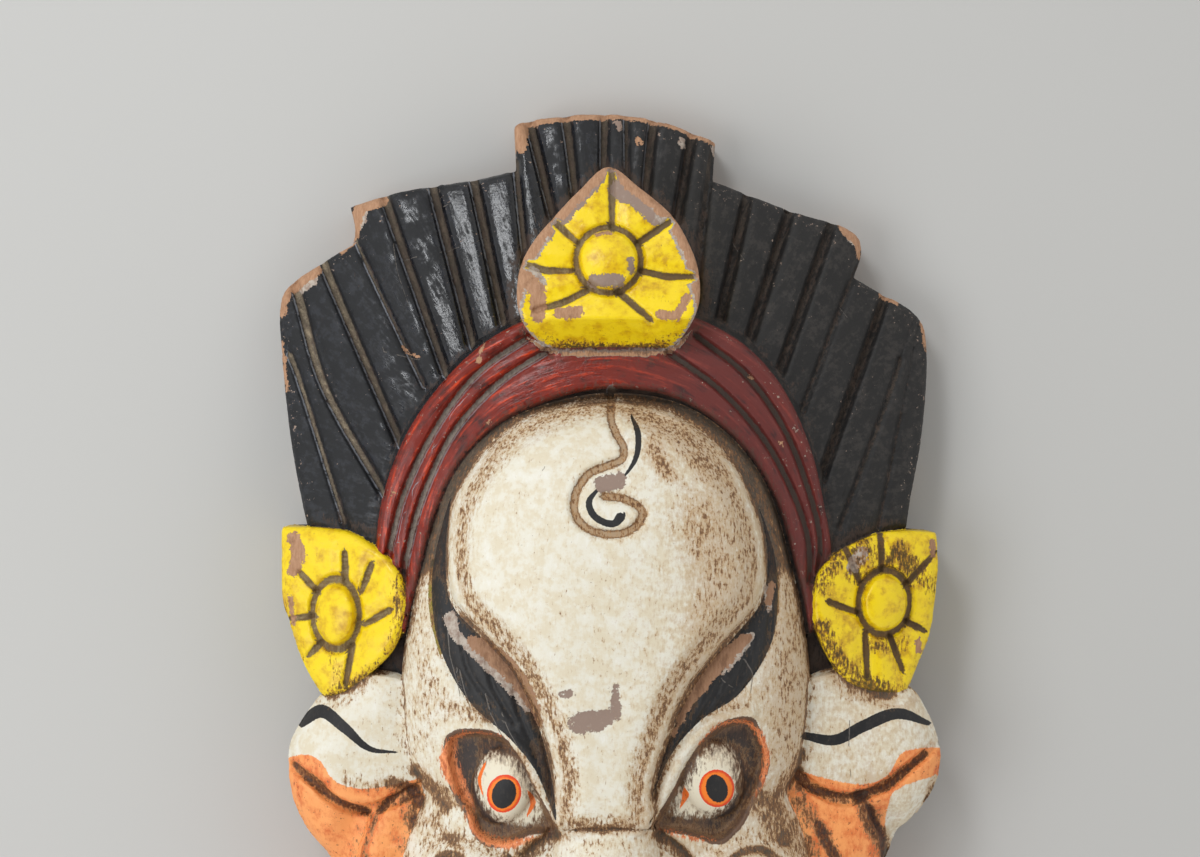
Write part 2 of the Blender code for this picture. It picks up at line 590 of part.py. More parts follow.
def cheek_and_mouth(x, y, base):
    """Round cheeks under the eyes, and a wide mouth that bares its upper teeth."""
    level = base
    for side in (-1, 1):
        level = level + CHEEK_SWELL * mound(side * x, y, CHEEK, CHEEK_RADII) ** 1.2
        level = level - cut(side * x, y, CHEEK_FOLD, 4.5, 4.0)
    inside = depth_inside(x, y, np.vstack([UPPER_LIP, LOWER_LIP[::-1]]))
    level = level - MOUTH_DEPTH * ramp(inside, 0, 3.0) + teeth(x, y, inside)
    for path, half_width, height in ((UPPER_LIP, 5.5, 4.2), (LOWER_LIP, 6.5, 5.0)):
        distance, _ = path_distance(x, y, path, half_width)
        level = level + height * (1 - ramp(distance, 0.8, half_width))
    level = level + CHIN_SWELL * mound(x, y, CHIN, CHIN_RADII) ** 1.2
    return level - cut(x, y, LIP_CLEFT, 3.2, 2.0)


def ear_height(x, y, outline, side, fold, flap):
    """A thick ear with a round rim, a fold across it and a sunken cup below the fold."""
    inside = depth_inside(x, y, outline)
    from_rim, _ = path_distance(x, y, outline[EAR_RIM_SPAN], EAR_SWELL_WIDTH + 1)
    level = EAR_RIM + EAR_SWELL * swell(from_rim, EAR_SWELL_WIDTH) - SIDE_STEEPNESS * np.maximum(-inside, 0)
    level = level - EAR_LOBE_FALL * ramp(-y, 95, 150)
    level = level - cut(side * x, y, fold, EAR_FOLD_WIDTH, EAR_FOLD_WIDTH)
    beside = side * x - np.interp(-y, -flap[:, 1], flap[:, 0])
    below_fold = ramp(-y, 76, 86) * (1 - ramp(-y, 128, 142))
    lip = ramp(beside, -0.6, 1.2) * (1 - ramp(beside, 6, 18))
    return level - ((CUP_DEPTH + CUP_LIP) * lip + CUP_DEPTH / 2 * (beside > 0)) * below_fold


def left_ear_height(x, y):
    return ear_height(x, y, LEFT_EAR, -1, LEFT_EAR_FOLD, LEFT_EAR_FLAP)


def right_ear_height(x, y):
    return ear_height(x, y, RIGHT_EAR, 1, RIGHT_EAR_FOLD, RIGHT_EAR_FLAP)


def flower_face(x, y, level, petals, boss, boss_radii):
    """The carving on a flower: cuts between the petals, a ring, and a round boss in the middle."""
    for path in petals:
        level = level - cut(x, y, path, PETAL_GROOVE_HALF_WIDTH, PETAL_GROOVE_DEPTH)
    spread = np.hypot((x - boss[0]) / boss_radii[0], (y - boss[1]) / boss_radii[1])
    from_edge = (spread - 1) * min(boss_radii)
    ring = gouge(np.abs(from_edge - 1.6), 2.2, BOSS_RING_DEPTH)
    dome = BOSS_HEIGHT * (1 - ramp(from_edge, -1.4, 0.8)) + BOSS_CROWN * (1 - np.clip(spread, 0, 1) ** 2)
    return level - ring + dome


def middle_flower_height(x, y):
    level = MIDDLE_FLOWER_TOP + MIDDLE_FLOWER_SLOPE * (MIDDLE_FLOWER_TIP - y)
    edge = MIDDLE_FLOWER_TOP + MIDDLE_FLOWER_SLOPE * (MIDDLE_FLOWER_TIP - MIDDLE_FLOWER_EDGE)
    level = np.minimum(level, edge - MIDDLE_FLOWER_BEVEL * (MIDDLE_FLOWER_EDGE - y))
    level = flower_face(x, y, level, MIDDLE_PETALS, MIDDLE_BOSS, MIDDLE_BOSS_RADII)
    return level - rounded_drop(depth_inside(x, y, MIDDLE_FLOWER), MIDDLE_FLOWER_ROUND)


def side_flower_height(x, y, outline, petals, boss, boss_radii):
    level = FLOWER_AT_BOSS - FLOWER_SLOPE * (np.abs(x) - abs(boss[0]))
    level = flower_face(x, y, level, petals, boss, boss_radii)
    return level - rounded_drop(depth_inside(x, y, outline), FLOWER_ROUND)


def left_flower_height(x, y):
    return side_flower_height(x, y, LEFT_FLOWER, LEFT_PETALS, LEFT_BOSS, LEFT_BOSS_RADII)


def right_flower_height(x, y):
    return side_flower_height(x, y, RIGHT_FLOWER, RIGHT_PETALS, RIGHT_BOSS, RIGHT_BOSS_RADII)


def featured_head_height(x, y):
    """The head with its forehead, brows, eyes, mouth, nose and the curl on its forehead."""
    level = head_height(x, y) + forehead_lift(x, y) + brow_relief(x, y)
    level = eye_surface(x, y, level)
    level = cheek_and_mouth(x, y, level)
    level = nose_height(x, y, level)
    level = level - cut(x, y, CURL, CURL_HALF_WIDTH, CURL_DEPTH)
    for seam in (EAR_SEAM_LEFT, EAR_SEAM_RIGHT):
        level = level - cut(x, y, seam, EAR_SEAM_HALF_WIDTH, EAR_SEAM_DEPTH)
    return level


def ground_forms(x, y):
    """The height of each form of the carved front but the flowers, which stand on it as blocks."""
    forms = (crest_height, band_height, featured_head_height, left_ear_height, right_ear_height)
    return [form(x, y) for form in forms]


def ground_height(x, y):
    crest, band, head, left_ear, right_ear = ground_forms(x, y)
    level = blended_max(blended_max(crest, band, 1.0), head, 1.0)
    return blended_max(blended_max(level, left_ear, 1.5), right_ear, 1.5)


def ground_paint(x, y):
    """The paint on each point of the front: the highest form's, with black brows and orange ear cups."""
    paint = np.choose(np.argmax(ground_forms(x, y), axis=0), (BLACK, RED, WHITE, ORANGE, ORANGE))
    for side, fold in ((-1, LEFT_EAR_FOLD), (1, RIGHT_EAR_FOLD)):
        order = np.argsort(fold[:, 0])
        above = y > np.interp(side * x, fold[order, 0], fold[order, 1])
        paint = np.where((paint == ORANGE) & (side * x > 0) & above, WHITE, paint)
    for brow in (LEFT_BROW, RIGHT_BROW):
        paint = np.where(depth_inside(x, y, brow) > 0, BLACK, paint)
    return paint


def flower_paint(x, y):
    return np.full(x.shape, YELLOW)


def face_outline():
    half = curve_through([(w, p) for p, w in HALF_FACE])
    return np.vstack([half, [(-w, p) for w, p in half[::-1]]])


# Scene and meshes
def clear_scene():
    for found in list(bpy.data.objects):
        bpy.data.objects.remove(found, do_unlink=True)
    for found in list(bpy.data.materials):
        bpy.data.materials.remove(found)


def new_collection(name):
    made = bpy.data.collections.new(name)
    bpy.context.scene.collection.children.link(made)
    return made


def new_paint(name, colour, roughness):
    made = bpy.data.materials.new(name)
    made.use_nodes = True
    made.diffuse_color = colour
    shader = made.node_tree.nodes["Principled BSDF"]
    shader.inputs["Base Color"].default_value = colour
    shader.inputs["Roughness"].default_value = roughness
    shader.inputs["Metallic"].default_value = 0.0
    return made


def add_object(name, mesh, collection):
    made = bpy.data.objects.new(name, mesh)
    collection.objects.link(made)
    return made


def as_cutter(helper):
    helper.hide_render = True
    helper.display_type = "WIRE"
    return helper


def carved_block(name, height, paint, low, high, step, collection):
    """A grid between two corners, shaped by a height, with walls and a floor, as one closed block."""
    columns, rows = int((high[0] - low[0]) / step), int((high[1] - low[1]) / step)
    shape = bmesh.new()
    bmesh.ops.create_grid(shape, x_segments=columns, y_segments=rows, size=0.5)
    grid = np.array([vertex.co for vertex in shape.verts]) + 0.5
    x = low[0] + grid[:, 0] * (high[0] - low[0])
    y = low[1] + grid[:, 1] * (high[1] - low[1])
    z = np.maximum(by_tiles(height, x, y), LEAST_HEIGHT)
    for vertex, position in zip(shape.verts, np.stack([x, y, z], 1) * MM):
        vertex.co = position
    shape.verts.index_update()
    paints = by_tiles(paint, x, y)
    for face in shape.faces:
        face.material_index = int(paints[face.verts[0].index])
    rim = [edge for edge in shape.edges if edge.is_boundary]
    walls = bmesh.ops.extrude_edge_only(shape, edges=rim)["geom"]
    for vertex in walls:
        if isinstance(vertex, bmesh.types.BMVert):
            vertex.co.z = -BLOCK_BELOW * MM
    bmesh.ops.contextual_create(shape, geom=[edge for edge in shape.edges if edge.is_boundary])
    bmesh.ops.recalc_face_normals(shape, faces=shape.faces)
    mesh = bpy.data.meshes.new(name)
    shape.to_mesh(mesh)
    shape.free()
    mesh.shade_smooth()
    mesh.set_sharp_from_angle(angle=SHARP_ANGLE)
    for material in bpy.data.materials:
        mesh.materials.append(material)
    return add_object(name, mesh, collection)


def slab(name, outline, bottom, collection):
    """A closed outline drawn as a flat curve and made a solid slab, from this level up."""
    flat = bpy.data.curves.new(name, "CURVE")
    flat.dimensions = "2D"
    flat.fill_mode = "BOTH"
    flat.extrude = (SLAB_TOP - bottom) / 2 * MM
    spline = flat.splines.new("POLY")
    spline.points.add(len(outline) - 1)
    for point, (x, y) in zip(spline.points, outline):
        point.co = (x * MM, y * MM, 0, 1)
    spline.use_cyclic_u = True
    drawn = add_object(name + "_drawn", flat, collection)
    drawn.location.z = (SLAB_TOP + bottom) / 2 * MM
    bpy.context.view_layer.update()
    graph = bpy.context.evaluated_depsgraph_get()
    mesh = bpy.data.meshes.new_from_object(drawn.evaluated_get(graph))
    made = add_object(name, mesh, collection)
    made.matrix_world = drawn.matrix_world
    bpy.data.objects.remove(drawn)
    weld(mesh)
    return as_cutter(made)


def weld(mesh):
    shape = bmesh.new()
    shape.from_mesh(mesh)
    bmesh.ops.remove_doubles(shape, verts=shape.verts, dist=1e-5)
    bmesh.ops.recalc_face_normals(shape, faces=shape.faces)
    shape.to_mesh(mesh)
    shape.free()


def bowl(name, centre, radii, collection, segments=40, rings=20):
    """An ellipsoid that scoops a hollow out of the back."""
    shape = bmesh.new()
    bmesh.ops.create_uvsphere(shape, u_segments=segments, v_segments=rings, radius=1.0)
    mesh = bpy.data.meshes.new(name)
    for vertex in shape.verts:
        vertex.co = [(c + r * v) * MM for c, r, v in zip(centre, radii, vertex.co)]
    shape.to_mesh(mesh)
    shape.free()
    return as_cutter(add_object(name, mesh, collection))


def floor_cutter(collection):
    """A box that takes away all that lies below the back."""
    across, along, deep = 3 * HALF_WIDTH * MM, 3 * CREST_TOP * MM, 4 * BLOCK_BELOW * MM
    shape = bmesh.new()
    bmesh.ops.create_cube(shape, size=1.0)
    for vertex in shape.verts:
        vertex.co = (vertex.co.x * across, vertex.co.y * along, (vertex.co.z - 0.5) * deep)
    mesh = bpy.data.meshes.new("below_back")
    shape.to_mesh(mesh)
    shape.free()
    return as_cutter(add_object("below_back", mesh, collection))


def boolean(target, operation, other):
    made = target.modifiers.new(f"{operation.lower()} {other.name}", "BOOLEAN")
    made.operation = operation
    made.solver = "EXACT"
    made.object = other
    return made


def thin_out(target, share):
    """Collapses edges where the surface is nearly flat, down to this share of the triangles."""
    made = target.modifiers.new("thin out", "DECIMATE")
    made.decimate_type = "COLLAPSE"
    made.ratio = share


def flower_block(name, outline, height, bottom, collection):
    """One flower as a block of its own, to be joined to the mask it is carved from."""
    low, high = outline.min(0) - FLOWER_GRID_STEP, outline.max(0) + FLOWER_GRID_STEP
    block = carved_block(name, height, flower_paint, low, high, FLOWER_GRID_STEP, collection)
    boolean(block, "INTERSECT", slab(name + "_slab", outline, bottom, collection))
    thin_out(block, FLOWER_THINNING)
    return as_cutter(block)


def main():
    clear_scene()
    for paint in PAINTS:
        new_paint(*paint)
    parts = new_collection("Cham mask")
    cutters = new_collection("Cutters")
    corner = np.array([HALF_WIDTH, CREST_TOP]) + BLOCK_MARGIN
    mask = carved_block("mask", ground_height, ground_paint, -corner, corner, GRID_STEP, parts)

    silhouette = slab("silhouette", CREST, -BLOCK_BELOW / 2, cutters)
    for name, outline in (
        ("face_slab", face_outline()),
        ("left_ear_slab", LEFT_EAR),
        ("right_ear_slab", RIGHT_EAR),
        ("left_flower_slab", LEFT_FLOWER[:-1]),
        ("right_flower_slab", RIGHT_FLOWER[:-1]),
    ):
        boolean(silhouette, "UNION", slab(name, outline, -BLOCK_BELOW / 2, cutters))
    boolean(mask, "INTERSECT", silhouette)
    thin_out(mask, THINNING)
    for name, outline, height, bottom in (
        ("middle_flower", MIDDLE_FLOWER, middle_flower_height, MIDDLE_FLOWER_BOTTOM),
        ("left_flower", LEFT_FLOWER[:-1], left_flower_height, FLOWER_BOTTOM),
        ("right_flower", RIGHT_FLOWER[:-1], right_flower_height, FLOWER_BOTTOM),
    ):
        boolean(mask, "UNION", flower_block(name, outline, height, bottom, cutters))
    boolean(mask, "DIFFERENCE", floor_cutter(cutters))
    boolean(mask, "DIFFERENCE", bowl("hollow", HOLLOW_CENTRE, HOLLOW_RADII, cutters))
    for side in (-1, 1):
        for name, centre, radii in (
            ("behind_ear", UNDERCUT_CENTRE, UNDERCUT_RADII),
            ("behind_crest", CREST_UNDERCUT_CENTRE, CREST_UNDERCUT_RADII),
        ):
            place = (side * centre[0], centre[1], centre[2])
            boolean(mask, "DIFFERENCE", bowl(name, place, radii, cutters, 28, 14))


if __name__ == "__main__":
    main()
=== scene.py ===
"""The looks of a carved and painted wooden cham mask, lying face up on a plain floor.

The mask is one block of wood, so it is one piece here. Its mesh starts as a copy of
the solid in the frame, which gives the true outline, back and thickness. The front
is then carved finer by the same named forms that shaped the solid, with tool marks,
chips and uneven strokes added. Each point keeps how far inside each painted place it
lies, and one material paints the wood from those distances.

Lengths are drawn in millimetres and turned into metres by MM where meshes are made.
"""

import bpy
import numpy as np
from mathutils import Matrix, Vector


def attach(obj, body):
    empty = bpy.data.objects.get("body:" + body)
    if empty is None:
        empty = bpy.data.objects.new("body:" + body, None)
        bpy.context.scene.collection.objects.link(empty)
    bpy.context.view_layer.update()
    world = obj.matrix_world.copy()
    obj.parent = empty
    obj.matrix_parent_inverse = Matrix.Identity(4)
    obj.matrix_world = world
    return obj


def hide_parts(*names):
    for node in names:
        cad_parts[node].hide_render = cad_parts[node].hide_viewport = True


bl_info = {
    "name": "Cham mask",
    "version": (1, 0, 0),
    "blender": (4, 5, 0),
    "location": "3D View > Sidebar > Cham mask",
    "description": "Carves and paints a wooden cham mask and lays it on a plain stage",
    "category": "Object",
}

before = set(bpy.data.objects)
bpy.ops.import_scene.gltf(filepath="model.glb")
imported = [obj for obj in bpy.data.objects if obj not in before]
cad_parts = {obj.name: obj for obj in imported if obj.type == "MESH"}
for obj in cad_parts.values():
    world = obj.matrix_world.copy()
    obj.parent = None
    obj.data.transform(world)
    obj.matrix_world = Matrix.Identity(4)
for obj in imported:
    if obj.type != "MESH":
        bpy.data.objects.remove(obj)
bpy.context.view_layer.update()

MM = 0.001

# Stage. Each light: its name, its direction, its share of the power, and its share of the side
LOOKED_AT = (-2.5 * MM, 80 * MM, 0.0)
LIGHTS = (
    ("side_light", (-0.6, -0.16, 0.78), 0.95, 1.0),
    ("top_light", (-0.31, 0.57, 0.76), 0.75, 0.42),
)
LIGHT_COLOUR = (0.96, 0.98, 1.0)
FILL_COLOUR = (1.0, 0.985, 0.965)
DIM_FROM, DIM_TO = 0.62, 0.9
SIDE_SHARE, OVERHEAD_SHARE = 1.3, 0.3
PHOTO_WIDTH = 1200
PHOTO_FOCAL = 2465
SENSOR_WIDTH = 36.0

# Outer sizes of the mask
HALF_WIDTH = 143.5
CREST_TOP = 217.5
SIDE_STEEPNESS = 3.5
STEEPEST_UP = 0.35
WELD_DISTANCE = 1e-5


# Crest: a fan that falls away from the band, with gouged flutes
FAN_CENTRE = (-1.0, 28.0)
FAN_RADIUS = 100.0
CREST_AT_BAND = 51.0
CREST_FALL = 0.31
CREST_SIDE_FALL = 0.18
CREST_SIDE_FROM = 95.0
CREST_ROUND = 4.0
FLUTE_CROWN = 1.3
FLUTE_TILT = 0.9
GOUGE_HALF_WIDTH = 3.2
GOUGE_DEPTH = 3.4

# Headband
BAND_OUTER_LEVEL = 57.0
BAND_RISE = 9.0
BAND_TOP_LIFT = 6.0
BAND_GROOVE_DEPTH = 3.4
BAND_GROOVE_HALF_WIDTH = 2.3
BAND_DIP_HALF_WIDTH = 6.0
BAND_DIP_DEPTH = 0.5
BAND_ROUND = 3.0

# Head and forehead
FOREHEAD_LIP = 4.0
FOREHEAD_SWELL = 7.0
FOREHEAD_SWELL_WIDTH = 17.0
FOREHEAD_DOME = 7.0
DOME_CENTRE = (0.0, 32.0)
DOME_RADII = (78.0, 92.0)
HEAD_STEEPNESS = 3.0
HEAD_TOP = 100.0
BROW_BED = 1.4
BROW_SWELL = 2.4
BROW_SWELL_WIDTH = 8.0
BROW_HAIR_HALF_WIDTH = 1.7
BROW_HAIR_DEPTH = 1.0
SOCKET_DEPTH = 6.0
EYEBALL_SWELL = 8.5
EYEBALL_RADII = (13.0, 17.5)
EYEBALL_TURN = 0.35
LEFT_EYE = (-42.5, -67.0)
RIGHT_EYE = (44.0, -64.5)
LID_HEIGHT = 2.2
CURL_HALF_WIDTH = 2.8
CURL_DEPTH = 1.8

# Lower face
FACE_LEVEL = 84.0
NOSE_TIP = (0.0, -121.0)
NOSE_TIP_RADII = (20.0, 18.0)
NOSE_TIP_HEIGHT = 33.0
NOSE_WING = (23.5, -123.0)
NOSE_WING_RADII = (15.5, 14.0)
NOSE_WING_HEIGHT = 24.0
NOSTRIL = (13.5, -135.0)
NOSTRIL_RADII = (7.0, 5.0)
NOSTRIL_DEPTH = 9.0
NOSTRIL_TURN = 0.4
CHEEK = (59.0, -121.0)
CHEEK_RADII = (33.0, 31.0)
CHEEK_SWELL = 22.0
CHEEK_FOLD_HALF_WIDTH = 4.5
CHEEK_FOLD_DEPTH = 4.0
MOUTH_DEPTH = 9.0
UPPER_LIP_HALF_WIDTH = 5.5
UPPER_LIP_HEIGHT = 4.2
LOWER_LIP_HALF_WIDTH = 6.5
LOWER_LIP_HEIGHT = 5.0
TOOTH_WIDTH = 9.4
TOOTH_LENGTH = 9.5
TOOTH_HEIGHT = 6.5
FANG_AT_TOOTH = 3
FANG_LENGTH = 15.0
TEETH_HALF_WIDTH = 42.0
CHIN = (0.0, -197.0)
CHIN_RADII = (30.0, 17.0)
CHIN_SWELL = 13.0
EAR_SEAM_HALF_WIDTH = 4.0
EAR_SEAM_DEPTH = 3.0

# Fillets where two forms meet
FILLET = 1.0
EAR_FILLET = 1.5

# Ears and flowers
EAR_RIM = 38.0
EAR_SWELL = 19.0
EAR_SWELL_WIDTH = 26.0
EAR_LOBE_FALL = 6.0
EAR_FOLD_WIDTH = 3.6
CUP_DEPTH = 3.0
CUP_LIP = 2.0
FLOWER_SLOPE = 0.5
FLOWER_AT_BOSS = 52.0
FLOWER_ROUND = 5.0
BOSS_HEIGHT = 4.0
BOSS_CROWN = 2.6
BOSS_RING_DEPTH = 2.0
LEFT_BOSS = (-115.0, 1.0)
LEFT_BOSS_RADII = (9.0, 12.8)
RIGHT_BOSS = (118.5, 6.0)
RIGHT_BOSS_RADII = (10.0, 11.9)
PETAL_GROOVE_DEPTH = 2.2
PETAL_GROOVE_HALF_WIDTH = 2.0
PETAL_DIP_HALF_WIDTH = 7.0
PETAL_DIP_DEPTH = 0.9
MIDDLE_BOSS = (1.0, 150.0)
MIDDLE_BOSS_RADII = (12.0, 12.3)
MIDDLE_FLOWER_TIP = 190.0
MIDDLE_FLOWER_TOP = 66.0
MIDDLE_FLOWER_SLOPE = 0.27
MIDDLE_FLOWER_EDGE = 125.5
MIDDLE_FLOWER_BEVEL = 1.25
MIDDLE_FLOWER_ROUND = 3.0

# Back
HOLLOW_CENTRE = (0.0, -62.0, -1.0)
HOLLOW_RADII = (72.0, 125.0, 79.0)
UNDERCUT_CENTRE = (152.0, -58.0, -3.0)
UNDERCUT_RADII = (58.0, 116.0, 24.0)
CREST_UNDERCUT_CENTRE = (158.0, 128.0, -3.0)
CREST_UNDERCUT_RADII = (44.0, 74.0, 15.0)

# Fine carving that the solid leaves out
FLUTE_ROLL_WIDTH = 2.2
FLUTE_WAVE_LENGTH = 24.0
FLUTE_WAVE_WIDTH = 7.0
HEAD_WAVE = 22.0
HEAD_DENT = 7.0
FLOWER_DENT = 9.0
GOUGE_ROW_WIDTH = 9.0
GOUGE_ROW_BEND = (30.0, 26.0)
GOUGE_CUT_LENGTH = 17.0
CHEEK_ARC_HALF_WIDTH = 2.2
SHALLOW_FOLD_DEPTH = 1.2
CRUST_MARGIN = 1.0
GOUGE_BOTTOM = (2.0, 1.7, 1.2)
BAND_GROOVE_BOTTOM = 1.15
CURL_BOTTOM = 1.7
PETAL_GROOVE_BOTTOM = (1.0, 1.2, 0.7)
BOSS_RING_OFFSET = 1.5
BOSS_RING_BOTTOM = 0.8

# How far off a painted or worn place is still measured
REACH = 8.0
CHIP_REACH = 2.0
DETAIL_REACH = 4.0

# Mesh: the steps of the height map, and how near the rough block's points lie to the true surface
MAP_MARGIN = 6.0
MAP_STEP, QUICK_MAP_STEP = 0.9, 1.6
FRONT_REACH = 6.0
MOST_MOVED = 3.0
WALL_REACH = 60.0
WALL_NEAR = 2.0
FLOWER_OVERLAP = 0.6
FLOWER_STANDS = 0.8
BOWL_NEAR = 1.6
BOWL_ABOVE = 0.8
BOWL_FACING = 0.3
FLAT_FACING = -0.8
FLAT_BELOW = 1.2
DETAIL_MARGIN = 2.0
DETAIL_ABOVE = 20.0
UPPER_REACH = 7.0

# Marks on the points: how far round a point its height is averaged, and what share that has
HOLLOWS = ((1.5, 1.0), (5.0, 0.4))
DEEPEST_HOLLOW = 1.5


# Curves and distances
def curve_through(points, closed=False, per_span=8):
    """Close points along a smooth curve through a few points (centripetal Catmull-Rom)."""
    given = np.array(points, float)
    if closed:
        knots = np.vstack([given[-1:], given, given[:2]])
    else:
        knots = np.vstack([2 * given[0] - given[1], given, 2 * given[-1] - given[-2]])
    spans = []
    for a, b, c, d in zip(knots[:-3], knots[1:-2], knots[2:-1], knots[3:]):
        times = [0.0]
        for start, end in ((a, b), (b, c), (c, d)):
            times.append(times[-1] + max(np.hypot(*(end - start)), 1e-6) ** 0.5)
        t0, t1, t2, t3 = times
        t = np.linspace(t1, t2, per_span, endpoint=False)[:, None]
        ab = (t1 - t) / (t1 - t0) * a + (t - t0) / (t1 - t0) * b
        bc = (t2 - t) / (t2 - t1) * b + (t - t1) / (t2 - t1) * c
        cd = (t3 - t) / (t3 - t2) * c + (t - t2) / (t3 - t2) * d
        abc = (t2 - t) / (t2 - t0) * ab + (t - t0) / (t2 - t0) * bc
        bcd = (t3 - t) / (t3 - t1) * bc + (t - t1) / (t3 - t1) * cd
        spans.append((t2 - t) / (t2 - t1) * abc + (t - t1) / (t2 - t1) * bcd)
    if not closed:
        spans.append(given[-1:])
    return np.vstack(spans)


def chain(*sections):
    """One outline from several smooth sections, with a corner where two sections meet."""
    return np.vstack([curve_through(section)[:-1] for section in sections] + [sections[-1][-1:]])


def mirrored(path):
    return [(-x, y) for x, y in path]


def nearest_on_path(x, y, path, reach=25.0):
    """Distance to a path, at most this reach, how far along it from 0 to 1, and which side of it."""
    path = np.asarray(path, float)
    low = np.minimum(path[:-1], path[1:]) - reach
    high = np.maximum(path[:-1], path[1:]) + reach
    near = (low[:, 0] <= x.max()) & (high[:, 0] >= x.min())
    near &= (low[:, 1] <= y.max()) & (high[:, 1] >= y.min())
    index = np.flatnonzero(near)
    if not len(index):
        return np.full(x.shape, reach), np.zeros(x.shape), np.ones(x.shape)
    start = path[index]
    run = path[index + 1] - start
    off_x, off_y = x[:, None] - start[:, 0], y[:, None] - start[:, 1]
    length = np.maximum((run**2).sum(1), 1e-9)
    along = np.clip((off_x * run[:, 0] + off_y * run[:, 1]) / length, 0, 1)
    distance = np.hypot(off_x - along * run[:, 0], off_y - along * run[:, 1])
    nearest = distance.argmin(1)
    rows = np.arange(len(x))
    share = (index[nearest] + along[rows, nearest]) / (len(path) - 1)
    side = run[nearest, 0] * off_y[rows, nearest] - run[nearest, 1] * off_x[rows, nearest]
    return np.minimum(distance[rows, nearest], reach), share, np.where(side > 0, 1, -1)


def path_distance(x, y, path, reach=25.0):
    """Distance to a path, at most this reach, and how far along it the nearest point is."""
    return nearest_on_path(x, y, path, reach)[:2]


def depth_inside(x, y, outline, reach=25.0):
    """Distance to a closed outline, positive inside it and negative outside, at most this reach."""
    ring = np.vstack([outline, outline[:1]])
    distance, _ = path_distance(x, y, ring, reach)
    far = distance.min() >= reach
    px, py = (x[:1, None], y[:1, None]) if far else (x[:, None], y[:, None])
    (ax, ay), (bx, by) = ring[:-1].T, ring[1:].T
    slope = (bx - ax) / np.where(ay == by, 1, by - ay)
    crossings = (((ay > py) != (by > py)) & (px < ax + (py - ay) * slope)).sum(1)
    return np.where(crossings % 2 == 1, distance, -distance)


def cut(x, y, path, half_width, depth):
    """A round-bottomed gouge along a path, as the depth that it takes away."""
    distance, _ = path_distance(x, y, path, half_width)
    return gouge(distance, half_width, depth)


def by_tiles(read, x, y, side=20.0):
    """Reads rows of values tile by tile, so that each curve is only measured where it is near."""
    tile = np.floor(x / side) * 1000 + np.floor(y / side)
    order = np.argsort(tile, kind="stable")
    groups = np.split(order, np.flatnonzero(np.diff(tile[order])) + 1)
    parts = [np.atleast_2d(read(x[group], y[group])) for group in groups]
    found = np.empty((len(parts[0]), len(x)))
    for group, part in zip(groups, parts):
        found[:, group] = part
    return found


def ramp(value, start, end):
    """Rises smoothly from 0 at start to 1 at end."""
    t = np.clip((value - start) / (end - start), 0, 1)
    return t * t * (3 - 2 * t)


def profile(position, knots):
    """A smooth curve of (position, value) knots, read at each position."""
    curve = curve_through(sorted(knots))
    return np.interp(position, curve[:, 0], curve[:, 1])


def swell(inside, width):
    """A quarter-round rise from 0 at an edge to 1 at this distance inside it."""
    return np.sqrt(1 - (1 - np.clip(inside / width, 0, 1)) ** 2)


def rounded_drop(inside, radius):
    """How far a surface falls near its edge: a quarter round, then a steep side."""
    within = np.clip(radius - inside, 0, radius)
    return radius - np.sqrt(radius**2 - within**2) + SIDE_STEEPNESS * np.maximum(-inside, 0)


def mound(x, y, centre, radii):
    """A flat-edged mound: 1 in its middle and 0 from its edge outwards."""
    return np.clip(1 - ((x - centre[0]) / radii[0]) ** 2 - ((y - centre[1]) / radii[1]) ** 2, 0, 1)


def gouge(distance, half_width, depth):
    """The depth of a round-bottomed gouge cut at this distance from its middle."""
    return depth * (1 - ramp(distance, 0.35 * half_width, half_width))


def in_ellipse(x, y, centre, radii, turn):
    """A point's place along an ellipse's two axes, each 1 at the ellipse."""
    dx, dy = x - centre[0], y - centre[1]
    along = (dx * np.cos(turn) + dy * np.sin(turn)) / radii[0]
    return along, (dy * np.cos(turn) - dx * np.sin(turn)) / radii[1]


def cap(x, y, centre, radii, turn=0.0):
    """A half ellipsoid's height: 1 in its middle, 0 at its edge, and falling on outside."""
    along, across = in_ellipse(x, y, centre, radii, turn)
    spread = along**2 + across**2
    return np.where(spread < 1, np.sqrt(np.maximum(1 - spread, 0)), 1 - spread)


def blended_max(a, b, width):
    """The higher of two surfaces, with the corner between them filled over this width."""
    share = np.clip(0.5 + 0.5 * (a - b) / width, 0, 1)
    return b + (a - b) * share + width * share * (1 - share)


# Outlines of the forms
CREST = chain(
    [(-129, 37), (-132, 50), (-137, 75), (-141, 105), (-143, 132), (-141.5, 139), (-138, 143.5),
     (-125.5, 151.5), (-110.5, 160)],
    [(-110.5, 160), (-109.5, 167), (-112, 177)],
    [(-112, 177), (-90, 183), (-55, 188.5), (-39, 192)],
    [(-39, 192), (-40, 211.5)],
    [(-40, 211.5), (-37.5, 213.5), (-20, 216.3), (-2.5, 217.5), (15, 216), (32.5, 211.3), (48, 205)],
    [(48, 205), (46.5, 187.5)],
    [(46.5, 187.5), (63, 181), (85, 173), (104.5, 167.5), (110.5, 163), (111.5, 156), (108, 145.5)],
    [(108, 145.5), (119.5, 139), (129, 134.5), (138, 127), (140.5, 116), (139.5, 92.5),
     (136.5, 70.5), (132, 49), (130, 37)],
    [(130, 37), (112, 32), (101, 20), (97, 0), (101, -22), (96, -42)],
    [(96, -42), (-96, -42)],
    [(-96, -42), (-101, -22), (-97, 0), (-101, 20), (-112, 32), (-129, 37)],
)

HALF_FACE = [
    (101, 0.5), (97, 22), (89, 41), (76, 56), (60, 67), (42, 73.5), (25, 78), (5, 83), (-34, 87),
    (-60, 84), (-73, 79), (-85, 83), (-100, 88), (-125, 91), (-145, 88), (-165, 80), (-185, 67),
    (-200, 50), (-210, 33), (-216, 13), (-217.5, 0),
]

